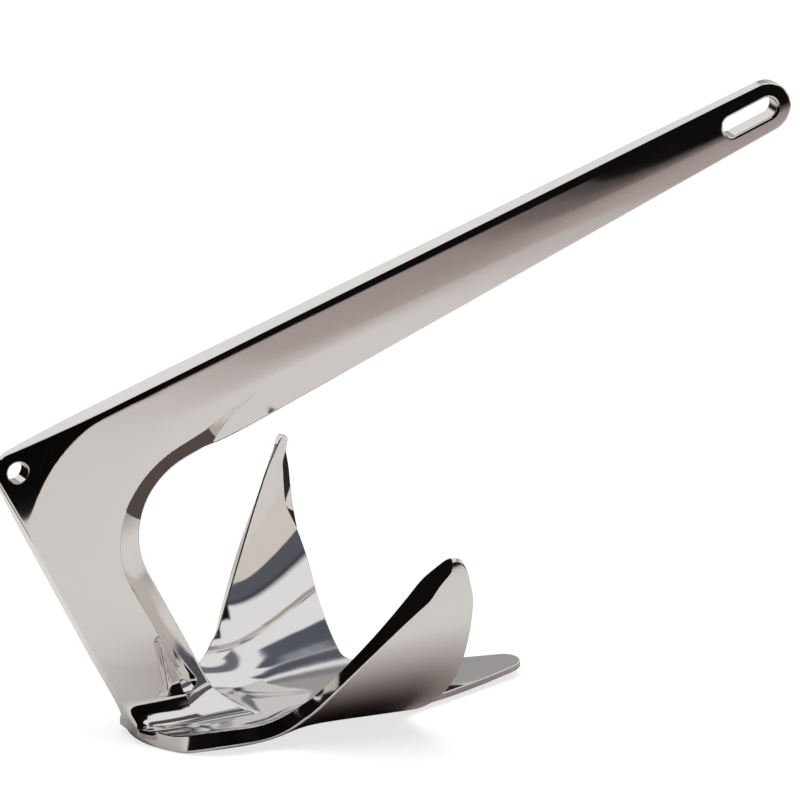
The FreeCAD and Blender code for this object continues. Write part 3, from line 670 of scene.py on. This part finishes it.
def face_out(skin):
    """Turn each face the way that its points' normals say."""
    for index, face in enumerate(skin["faces"]):
        corners = skin["places"][list(face)]
        across = np.zeros(3)
        for k in range(1, len(face) - 1):
            across += np.cross(corners[k] - corners[0], corners[k + 1] - corners[0])
        if across @ skin["normals"][list(face)].sum(axis=0) < 0:
            skin["faces"][index] = face[::-1]


face_out(shank)
print("shank:", len(shank["places"]), "points,", len(shank["faces"]), "faces")

# %% [markdown]
# The scoop is one curved sheet. Across, its floor is flat and its walls are arcs whose radius
# grows forward. A place on it is a distance forward and a distance across along the sheet, and
# the sheet's two faces and its rim are all measured from its middle layer.

# %% Scoop sheet
FLOOR_HALF, FLOOR_FRONT, FLOOR_TURN, FLOOR_BLEND = 38.0, 9.0, 80.0, 12.0
WALL_ROUND, WALL_GROWTH = 30.0, 0.63
CLAW_TIP = (177.0, 163.0)


def underside(x, across):
    """Points of the scoop's outer face, by distance forward and distance across along it."""
    narrow = 1 + np.exp((x - FLOOR_TURN) / FLOOR_BLEND)
    half = FLOOR_FRONT + (FLOOR_HALF - FLOOR_FRONT) / narrow
    wall = WALL_ROUND + WALL_GROWTH * x
    turn = np.maximum(np.abs(across) - half, 0) / wall
    side = np.minimum(np.abs(across), half) + wall * np.sin(turn)
    height = floor_lift(x) - FLOOR_GRIND + wall * (1 - np.cos(turn))
    return np.stack([x, np.sign(across) * side, height], axis=1)


def sheet_normal(x, across):
    """The direction through the sheet, from its outer face to its inner one."""
    ahead = underside(x + SLOPE_STEP, across) - underside(x - SLOPE_STEP, across)
    aside = underside(x, across + SLOPE_STEP) - underside(x, across - SLOPE_STEP)
    return unit(np.cross(ahead, aside))


def layer(x, across, height):
    """Points at a height over the sheet's middle layer, and the direction through the sheet."""
    normal = sheet_normal(x, across)
    return underside(x, across) + normal * (thickness(x) / 2 + height)[:, None], normal


tip_round = round(WALL_ROUND + WALL_GROWTH * CLAW_TIP[0], 1)
print("scoop walls: arcs of", WALL_ROUND, "mm at the heel and", tip_round, "mm at the tips")

# %% [markdown]
# The scoop's edge is cut by two outlines. From above, it has a round heel, two side claws and a
# pointed middle one. From the side, the claws rise to their tips. The rim on the sheet is where
# both outlines end, and it is found by halving the way out from a hub along many rays.

# %% Scoop outline
def rounded(corners, pace=1.0):
    """A closed loop of points through corners, each rounded by its own radius."""
    points = []
    count = len(corners)
    for index, (corner, radius) in enumerate(corners):
        here = np.array(corner, float)
        before = np.array(corners[index - 1][0], float) - here
        after = np.array(corners[(index + 1) % count][0], float) - here
        before, after = before / np.linalg.norm(before), after / np.linalg.norm(after)
        if radius == 0:
            points.append(here)
            continue
        opening = math.acos(before @ after)
        step = radius / math.tan(opening / 2)
        middle = (before + after) / np.linalg.norm(before + after)
        centre = here + middle * radius / math.sin(opening / 2)
        first, last = bearing(here + before * step - centre), bearing(here + after * step - centre)
        last += 360 * round((first - last) / 360)
        points += arc(centre, radius, first, last, pace)
    return np.array(points)


PALM_TIP_ROUND, PALM_TAPER = 14.0, math.radians(19)
NOTCH_X, NOTCH_ROUND = 178.0, 9.0
CLAW_FRONT = 184.0
HEEL_ROUND, FLARE_ROUND = 64.0, 50.0
palm_apex = PALM_TIP + PALM_TIP_ROUND * (1 / math.sin(PALM_TAPER) - 1)
notch_half = (palm_apex - NOTCH_X) * math.tan(PALM_TAPER)
flare = math.radians(60)
wide = CLAW_TIP[1] * 1.15
flare_x = HEEL[0] + HEEL_ROUND + FLARE_ROUND * math.tan(flare / 2)
left_plan = [
    ((palm_apex, 0), PALM_TIP_ROUND),
    ((NOTCH_X, notch_half), NOTCH_ROUND),
    ((CLAW_FRONT, CLAW_TIP[1] * 0.75), 90),
    ((CLAW_FRONT, wide), 0),
    ((flare_x + (wide - HEEL_ROUND) / math.tan(flare), wide), 0),
    ((flare_x, HEEL_ROUND), FLARE_ROUND),
    ((HEEL[0], HEEL_ROUND), HEEL_ROUND),
]
plan = rounded(left_plan + [((x, -y), radius) for (x, y), radius in left_plan[:0:-1]])
CLAW_REAR, CLAW_RISE, CLAW_REAR_RUN = (84.6, 24.0), 59, 132.0
LOW_LEVEL, SHOULDER = -40, CLAW_TIP[1] * 0.6
claw_back = CLAW_REAR + polar(CLAW_RISE, CLAW_REAR_RUN)
side = rounded([
    ((-60, LOW_LEVEL), 0), ((-60, CLAW_REAR[1]), 0), (CLAW_REAR, 30), (claw_back, 60), (CLAW_TIP, 8),
    ((CLAW_FRONT + 5, SHOULDER), 0), ((330, SHOULDER), 0), ((330, LOW_LEVEL), 0)])


def on_scoop(x, across):
    """Which places of the sheet lie inside both outlines, from above and from the side."""
    middle, _ = layer(x, across, np.zeros_like(x))
    return within(middle[:, :2], plan) & within(middle[:, (0, 2)], side)


def blurred(loop, times):
    """A closed loop of values, each drawn a number of times towards its neighbours."""
    for _ in range(times):
        loop = (np.roll(loop, 1, axis=0) + 2 * loop + np.roll(loop, -1, axis=0)) / 4
    return loop


RAYS, HUB, HALVINGS = 1440, 100.0, 16
angles = np.linspace(0, 2 * math.pi, RAYS, endpoint=False)
near, far = np.zeros(RAYS), np.full(RAYS, 330.0)
for _ in range(HALVINGS):
    middle = (near + far) / 2
    inside = on_scoop(HUB + middle * np.cos(angles), middle * np.sin(angles))
    near, far = np.where(inside, middle, near), np.where(inside, far, middle)
scoop_rim = np.column_stack([HUB + near * np.cos(angles), near * np.sin(angles)])
scoop_rim = blurred(resample(np.concatenate([scoop_rim, scoop_rim[:1]]), 2.0)[:-1], 2)
print("scoop rim:", len(scoop_rim), "points")

# %% [markdown]
# The rim is ground to a narrow flat face with a small round on each side of it. Along the rear of
# the side claws the face leans outwards, and catches the light. In front, by the tips, it leans
# inwards and shows dark. So each point of the rim has a lean, and from it how far in each of the
# two faces of the sheet ends.

# %% Scoop rim
UPPER_ROUND, LOWER_SHARE = 0.8, 0.3
# Leans in degrees: at the rear, the level it starts at, its growth with height, its most, and the
# share it eases by near the tip. In front, its size and the levels it lies between
REAR_LEVEL, REAR_GROWTH, REAR_MOST, REAR_EASING = 37, 0.62, 58, 0.15
FRONT_LEAN, FRONT_LOW, FRONT_HIGH, TIP_LEVEL, TIP_FADE = 72, 58, 158, 130, 25
LEAN_BLURS = 8
rim_out = -normals_along(scoop_rim, True)
half_thick = thickness(scoop_rim[:, 0]) / 2
lower_round = LOWER_SHARE * half_thick
rim_level = layer(scoop_rim[:, 0], scoop_rim[:, 1], np.zeros(len(scoop_rim)))[0][:, 2]
rear_edge = ease((-rim_out[:, 0] - 0.2) / 0.4)
front_edge = ease((rim_out[:, 0] - 0.6) / 0.3) * ease((rim_level - FRONT_LOW) / 40)
front_edge = front_edge * ease((FRONT_HIGH - rim_level) / TIP_FADE)
rear_lean = np.clip(REAR_GROWTH * (rim_level - REAR_LEVEL), 0, REAR_MOST)
rear_lean = rear_lean * (1 - REAR_EASING * ease((rim_level - TIP_LEVEL) / TIP_FADE))
lean = np.radians(blurred(FRONT_LEAN * front_edge - rear_lean * rear_edge, LEAN_BLURS))
rounds = UPPER_ROUND - lower_round
facet = (2 * half_thick - UPPER_ROUND - lower_round + rounds * np.sin(lean)) / np.cos(lean)
apart = facet * np.sin(lean) + rounds * np.cos(lean)
upper_inset = np.where(lean > 0, lower_round + apart, UPPER_ROUND)
lower_inset = np.where(lean > 0, lower_round, UPPER_ROUND - apart)


def rim_row(way, turn):
    """One row of points round the rim, on its upper (1) or lower (-1) rounding."""
    inset, soft = (upper_inset, UPPER_ROUND) if way > 0 else (lower_inset, lower_round)
    place = scoop_rim - rim_out * (inset - soft * np.cos(turn))[:, None]
    height = way * (half_thick - soft) + soft * np.sin(turn)
    points, through = layer(place[:, 0], place[:, 1], height)
    beyond = place + rim_out * SLOPE_STEP
    aside = unit(layer(beyond[:, 0], beyond[:, 1], height)[0] - points)
    return points, unit(aside * np.cos(turn)[:, None] + through * np.sin(turn)[:, None])


print("rim leans from", np.degrees(lean.min()).round(), "to", np.degrees(lean.max()).round(), "degrees")

# %% [markdown]
# Both faces of the sheet get a net of triangles within the rim, and rows of points carry each one
# round its edge. What would lie under the ground is set level with it: the real casting is ground
# flat where it stands.

# %% Scoop mesh
SCOOP_PACE, RIM_ROWS = 3.0, 6
scoop, rim_ends = new_skin(), []
for way, inset in ((1, upper_inset), (-1, lower_inset)):
    inner_rim = scoop_rim - rim_out * inset[:, None]
    filling = clear_of(grid(inner_rim.min(axis=0), inner_rim.max(axis=0), SCOOP_PACE), [inner_rim], 1.8)
    flat, triangles, rim_index = net([inner_rim], filling)
    print("scoop face:", len(flat), "points,", len(triangles), "triangles")
    places, through = layer(flat[:, 0], flat[:, 1], way * thickness(flat[:, 0]) / 2)
    index = add(scoop, places, through * way)
    scoop["faces"] += [tuple(index[face]) for face in triangles]
    row = index[rim_index]
    for share in np.linspace(0, 1, RIM_ROWS + 1)[1:]:
        following = add(scoop, *rim_row(way, way * math.pi / 2 * (1 - share) + lean * share))
        join(scoop, row, following, closed=True)
        row = following
    rim_ends.append(row)
join(scoop, *rim_ends, closed=True)
scoop["places"], scoop["normals"] = np.array(scoop["places"]), np.array(scoop["normals"])
grounded = scoop["places"][:, 2] < 0
scoop["places"][grounded, 2] = 0
scoop["normals"][grounded] = (0, 0, -1)
face_out(scoop)
print("scoop:", len(scoop["places"]), "points,", len(scoop["faces"]), "faces")

# %% [markdown]
# The real anchor is one casting, so the shank and the scoop become one mesh. The shank's foot sinks
# into the floor, where the hollow ends flush with it. The normals worked out above are given to
# Blender as custom normals, so a mirror shows the curves and not the triangles.

# %% Casting
def build(name, skins):
    """A mesh object in metres from surfaces in millimetres."""
    places, normals, faces = [], [], []
    for skin in skins:
        first = len(places)
        places += (skin["places"] * MM).tolist()
        normals += skin["normals"].tolist()
        faces += [[int(k) + first for k in face] for face in skin["faces"]]
    mesh = bpy.data.meshes.new(name)
    mesh.from_pydata(places, [], faces)
    mesh.polygons.foreach_set("use_smooth", [True] * len(mesh.polygons))
    mesh.normals_split_custom_set_from_vertices(normals)
    return in_scene(name, mesh)


casting = build("cast_anchor", [shank, scoop])
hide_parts(NODE)
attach(casting, "root")
mesh = casting.data
print("casting:", len(mesh.vertices), "vertices,", len(mesh.polygons), "faces")

# %% [markdown]
# Polished stainless has no colour of its own to show. It is a metal shader with a faint warm grey,
# a low roughness that wanders a little, and a bump so slight that only the reflections waver.

# %% Steel
steel = bpy.data.materials.new("polished_stainless")
steel.use_nodes = True
nodes, links = steel.node_tree.nodes, steel.node_tree.links
shader = nodes["Principled BSDF"]
shader.inputs["Base Color"].default_value = (0.72, 0.705, 0.69, 1)
shader.inputs["Metallic"].default_value = 1
coordinates = nodes.new("ShaderNodeTexCoord")


def noise(scale, detail):
    """A noise texture on the casting's own coordinates."""
    texture = nodes.new("ShaderNodeTexNoise")
    texture.inputs["Scale"].default_value = scale
    texture.inputs["Detail"].default_value = detail
    links.new(coordinates.outputs["Object"], texture.inputs["Vector"])
    return texture.outputs["Fac"]


HAZE_SCALE, RIPPLE_SCALE = 9, 22
haze = nodes.new("ShaderNodeMapRange")
for socket, value in (("From Min", 0.3), ("From Max", 0.7), ("To Min", 0.035), ("To Max", 0.085)):
    haze.inputs[socket].default_value = value
links.new(noise(HAZE_SCALE, 4), haze.inputs["Value"])
links.new(haze.outputs["Result"], shader.inputs["Roughness"])
ripple = nodes.new("ShaderNodeBump")
ripple.inputs["Distance"].default_value = 0.001
ripple.inputs["Strength"].default_value = 0.12
links.new(noise(RIPPLE_SCALE, 2), ripple.inputs["Height"])
links.new(ripple.outputs["Normal"], shader.inputs["Normal"])
mesh.materials.append(steel)
print("steel:", len(nodes), "nodes")

# %% [markdown]
# A mirror shows the studio, so the studio is made with care. The anchor stands on a sheet of paper.
# In the mirror the paper has painted light and shade: a painted shadow right under the anchor,
# palest round it, and a painted fall-off of the light into the dark room, and that edge is the black
# band along the top of the arm. A colour ramp over the distance from a middle paints those tones into
# the paper's colour. The camera itself sees plain white with a soft shadow.

# %% Floor
FLOOR_REACH, FLOOR_DROP = 2.4, 0.0004
PAPER_MIDDLE = (0.18, 0.0, 0.0)
PAPER_WHITE, SHADOW_SHARE = 0.95, 0.25
# Painted shade: these tones paint a shadow right under the anchor and the light's fall-off farther out
# into the paper's colour
PAPER_PAINTED_SHADE_STOPS = [
    (0.07, (0.20, 0.165, 0.15)), (0.26, (0.59, 0.575, 0.56)), (0.58, (0.57, 0.552, 0.538)),
    (0.80, (0.45, 0.415, 0.40)), (0.92, (0.345, 0.295, 0.28)), (1.30, (0.285, 0.236, 0.226)),
    (1.60, (0.14, 0.115, 0.11)), (1.95, (0.07, 0.058, 0.056)), (2.2, (0.006, 0.005, 0.005))]


def flat_sheet(name, corners):
    """An object of one flat face through its corners."""
    sheet = bpy.data.meshes.new(name)
    sheet.from_pydata(corners, [], [list(range(len(corners)))])
    return in_scene(name, sheet)


floor = flat_sheet("paper_floor", [
    (FLOOR_REACH * math.cos(turn), FLOOR_REACH * math.sin(turn), -FLOOR_DROP)
    for turn in np.linspace(0, 2 * math.pi, 96, endpoint=False)])
print("floor: a disc of paper,", 2 * FLOOR_REACH, "m across")

# %% [markdown]
# One material gives the paper both of its looks. A Light Path node tells the camera's rays from the
# others, and a Mix Shader picks the white for the camera and the ramp's painted shade and painted
# fall-off for the mirror.

# %% Paper
paper = bpy.data.materials.new("paper")
paper.use_nodes = True
nodes, links = paper.node_tree.nodes, paper.node_tree.links
nodes.clear()
output = nodes.new("ShaderNodeOutputMaterial")
place = nodes.new("ShaderNodeTexCoord")
reach = nodes.new("ShaderNodeVectorMath")
reach.operation = "DISTANCE"
reach.inputs[1].default_value = PAPER_MIDDLE
links.new(place.outputs["Object"], reach.inputs[0])
painted_fall_off = nodes.new("ShaderNodeValToRGB")
painted_fall_off.color_ramp.interpolation = "EASE"
while len(painted_fall_off.color_ramp.elements) < len(PAPER_PAINTED_SHADE_STOPS):
    painted_fall_off.color_ramp.elements.new(0.5)
for stop, (distance, colour) in zip(painted_fall_off.color_ramp.elements, PAPER_PAINTED_SHADE_STOPS):
    stop.position = distance / FLOOR_REACH
    stop.color = (*colour, 1)
part_way = nodes.new("ShaderNodeMath")
part_way.operation = "DIVIDE"
part_way.inputs[1].default_value = FLOOR_REACH
links.new(reach.outputs["Value"], part_way.inputs[0])
links.new(part_way.outputs["Value"], painted_fall_off.inputs["Fac"])
# The paper that the mirror sees takes its colour from the ramp of painted shade and painted fall-off
mirrored_paper_painted_shade = nodes.new("ShaderNodeBsdfDiffuse")
links.new(painted_fall_off.outputs["Color"], mirrored_paper_painted_shade.inputs["Color"])
seen_glow = nodes.new("ShaderNodeEmission")
seen_glow.inputs["Color"].default_value = (1, 1, 1, 1)
seen_shade = nodes.new("ShaderNodeBsdfDiffuse")
seen_shade.inputs["Color"].default_value = (PAPER_WHITE, PAPER_WHITE, PAPER_WHITE, 1)
seen = nodes.new("ShaderNodeMixShader")
seen.inputs["Fac"].default_value = SHADOW_SHARE
links.new(seen_glow.outputs["Emission"], seen.inputs[1])
links.new(seen_shade.outputs["BSDF"], seen.inputs[2])
ray = nodes.new("ShaderNodeLightPath")
choice = nodes.new("ShaderNodeMixShader")
links.new(ray.outputs["Is Camera Ray"], choice.inputs["Fac"])
links.new(mirrored_paper_painted_shade.outputs["BSDF"], choice.inputs[1])
links.new(seen.outputs["Shader"], choice.inputs[2])
links.new(choice.outputs["Shader"], output.inputs["Surface"])
floor.data.materials.append(paper)
print("paper:", len(PAPER_PAINTED_SHADE_STOPS), "tones from its middle out")

# %% [markdown]
# The cards paint reflections: each is a flat sheet that glows in its own tone, and what a facet
# shows is the card that it faces. The dark ones are painted dark reflections, and the beige one is a
# painted pale reflection. Only reflections see the cards: the camera, shadows and soft light pass
# through them, so they change nothing but the mirror.

# %% Cards
# Painted reflections: each card's tone is what a facet facing it shows, dark for painted shade and beige
# for painted pale light
REFLECTION_CARDS = [
    ("black_card", (0.004, 0.003, 0.003),
     [(-0.9, -0.62, 0), (0.07, -0.62, 0), (0.2, -0.62, 0.1), (0.2, -0.62, 0.6), (-0.9, -0.62, 0.6)]),
    ("left_card", (0.006, 0.005, 0.005),
     [(-0.12, 0.45, 0), (-0.5, -0.05, 0), (-0.5, -0.05, 0.35), (-0.12, 0.45, 0.35)]),
    ("beige_card", (0.80, 0.755, 0.71),
     [(0.80, -0.5, 0), (0.80, 0.8, 0), (0.80, 0.8, 0.26), (0.80, -0.5, 0.26)]),
    ("heel_card", (0.006, 0.005, 0.005),
     [(-0.13, 0.30, 0), (-0.22, -0.02, 0), (-0.22, -0.02, 0.17), (-0.13, 0.30, 0.17)]),
    ("low_card", (0.03, 0.027, 0.02),
     [(0.32, 0.12, 0), (0.32, 0.5, 0), (0.32, 0.5, 0.095), (0.32, 0.21, 0.085), (0.32, 0.14, 0.03)]),
    ("throat_painted_shade_card", (0.11, 0.085, 0.08),
     [(0.0, 0.0, 0.162), (0.11, 0.0, 0.162), (0.11, -0.045, 0.162), (0.0, -0.04, 0.162)]),
]
for name, tone, corners in REFLECTION_CARDS:
    card = flat_sheet(name, corners)
    card.visible_camera = card.visible_shadow = card.visible_diffuse = False
    # The card glows to paint its reflection on the steel, though it is no lamp
    card_painted_glow = bpy.data.materials.new(name)
    card_painted_glow.use_nodes = True
    shader = card_painted_glow.node_tree.nodes["Principled BSDF"]
    shader.inputs["Base Color"].default_value = (0, 0, 0, 1)
    shader.inputs["Specular IOR Level"].default_value = 0
    shader.inputs["Emission Color"].default_value = (*tone, 1)
    shader.inputs["Emission Strength"].default_value = 1
    card.data.materials.append(card_painted_glow)
print("cards:", [name for name, tone, corners in REFLECTION_CARDS])

# %% [markdown]
# The soft shadow under the anchor comes from a large lamp overhead. A sun lamp with a wide angle is
# even over the whole scene. It is left out of reflections, since no lamp shows in the photograph.

# %% Lamp
LAMP_SPREAD, LAMP_TILT = math.radians(50), (math.radians(8), math.radians(-6), 0)
lamp_data = bpy.data.lights.new("overhead", "SUN")
lamp_data.energy = math.pi
lamp_data.angle = LAMP_SPREAD
lamp = in_scene("overhead", lamp_data)
lamp.rotation_euler = LAMP_TILT
lamp.visible_glossy = False
print("lamp: a sun,", round(math.degrees(LAMP_SPREAD)), "degrees across")

# %% [markdown]
# Past the paper's edge the world stands for the room. It is dark on the camera's side, and has a
# few large pale panels, each a box in azimuth and elevation with soft edges.

# %% Room
world = bpy.data.worlds.new("studio")
bpy.context.scene.world = world
world.use_nodes = True
nodes, links = world.node_tree.nodes, world.node_tree.links
background = nodes["Background"]
background.inputs["Strength"].default_value = 1
coordinates = nodes.new("ShaderNodeTexCoord")
axes = nodes.new("ShaderNodeSeparateXYZ")
links.new(coordinates.outputs["Generated"], axes.inputs["Vector"])


def worked_out(operation, first, second=None):
    """A node that does one sum on sockets or numbers."""
    node = nodes.new("ShaderNodeMath")
    node.operation = operation
    for index, value in enumerate((first, second)):
        if isinstance(value, (int, float)):
            node.inputs[index].default_value = value
        elif value is not None:
            links.new(value, node.inputs[index])
    return node.outputs["Value"]


def step_up(value, edge, soft):
    """0 below an edge and 1 above it, with a soft change between."""
    node = nodes.new("ShaderNodeMapRange")
    node.interpolation_type = "SMOOTHSTEP"
    node.inputs["From Min"].default_value = edge - soft
    node.inputs["From Max"].default_value = edge + soft
    links.new(value, node.inputs["Value"])
    return node.outputs["Result"]


def inside_of(value, low, high, soft):
    """1 between two edges and 0 past them, with a soft change at each."""
    return worked_out("MULTIPLY", step_up(value, low, soft),
                      worked_out("SUBTRACT", 1, step_up(value, high, soft)))


def mixed(share, under, over):
    """A colour laid over a colour or a socket by a share."""
    node = nodes.new("ShaderNodeMix")
    node.data_type = "RGBA"
    links.new(share, node.inputs["Factor"])
    if isinstance(under, tuple):
        node.inputs["A"].default_value = (*under, 1)
    else:
        links.new(under, node.inputs["A"])
    node.inputs["B"].default_value = (*over, 1)
    return node.outputs["Result"]


# The panels' edges waver in height, from end to end by this many degrees at most
WAVER_SCALE, WAVER_DEGREES = 3.5, 9
IN_DEGREES = 180 / math.pi
azimuth = worked_out("MULTIPLY", worked_out("ARCTAN2", axes.outputs["Y"], axes.outputs["X"]), IN_DEGREES)
elevation = worked_out("MULTIPLY", worked_out("ARCSINE", axes.outputs["Z"]), IN_DEGREES)
waver = nodes.new("ShaderNodeTexNoise")
waver.inputs["Scale"].default_value = WAVER_SCALE
waver.inputs["Detail"].default_value = 3
links.new(coordinates.outputs["Generated"], waver.inputs["Vector"])
sway = worked_out("MULTIPLY", worked_out("SUBTRACT", waver.outputs["Fac"], 0.5), WAVER_DEGREES)
elevation = worked_out("ADD", elevation, sway)
print("room: edges waver by", WAVER_DEGREES, "degrees at most")

# %% [markdown]
# Each panel is laid over the ones before it, like cut paper, so small dark ones can stand on large
# pale ones. The camera sees none of them: to its own rays the room is plain white.

# %% Panels of the room
DARK = (0.006, 0.005, 0.005)
# Each panel: from and to azimuth, from and to elevation, soft edge, colour
PANELS = [
    ((18, 118), (-40, 24), 4, (0.98, 0.97, 0.96)),
    ((66, 118), (-40, 70), 5, (0.95, 0.94, 0.93)),
    ((-46, 66), (-30, 16), 5, (0.62, 0.56, 0.50)),
    ((-58, 6), (13, 28), 3, (0.115, 0.12, 0.15)),
    ((6, 66), (13, 40), 3, (0.80, 0.79, 0.79)),
    ((-52, 70), (30, 64), 2, (0.97, 0.97, 0.99)),
    ((-72, 70), (45, 64), 2, (0.97, 0.97, 0.99)),
    ((-125, 190), (62, 95), 2, (0.97, 0.97, 0.99)),
    ((3, 40), (55.5, 61.5), 1.5, (0.105, 0.115, 0.15)),
    ((34, 56), (50, 55), 1.5, (0.105, 0.115, 0.15)),
    ((38, 62), (37, 46), 2, (0.27, 0.26, 0.28)),
    ((-40, 75), (74, 84), 2, (0.19, 0.19, 0.225)),
    ((57, 76), (14, 40), 3, (0.42, 0.41, 0.415)),
]
colour = DARK
for (west, east), (low, high), soft, tone in PANELS:
    share = worked_out("MULTIPLY", inside_of(azimuth, west, east, soft),
                       inside_of(elevation, low, high, soft))
    colour = mixed(share, colour, tone)
ray = nodes.new("ShaderNodeLightPath")
seen_colour = mixed(ray.outputs["Is Camera Ray"], colour, (1, 1, 1))
links.new(seen_colour, background.inputs["Color"])
print("room:", len(PANELS), "panels round a dark studio")
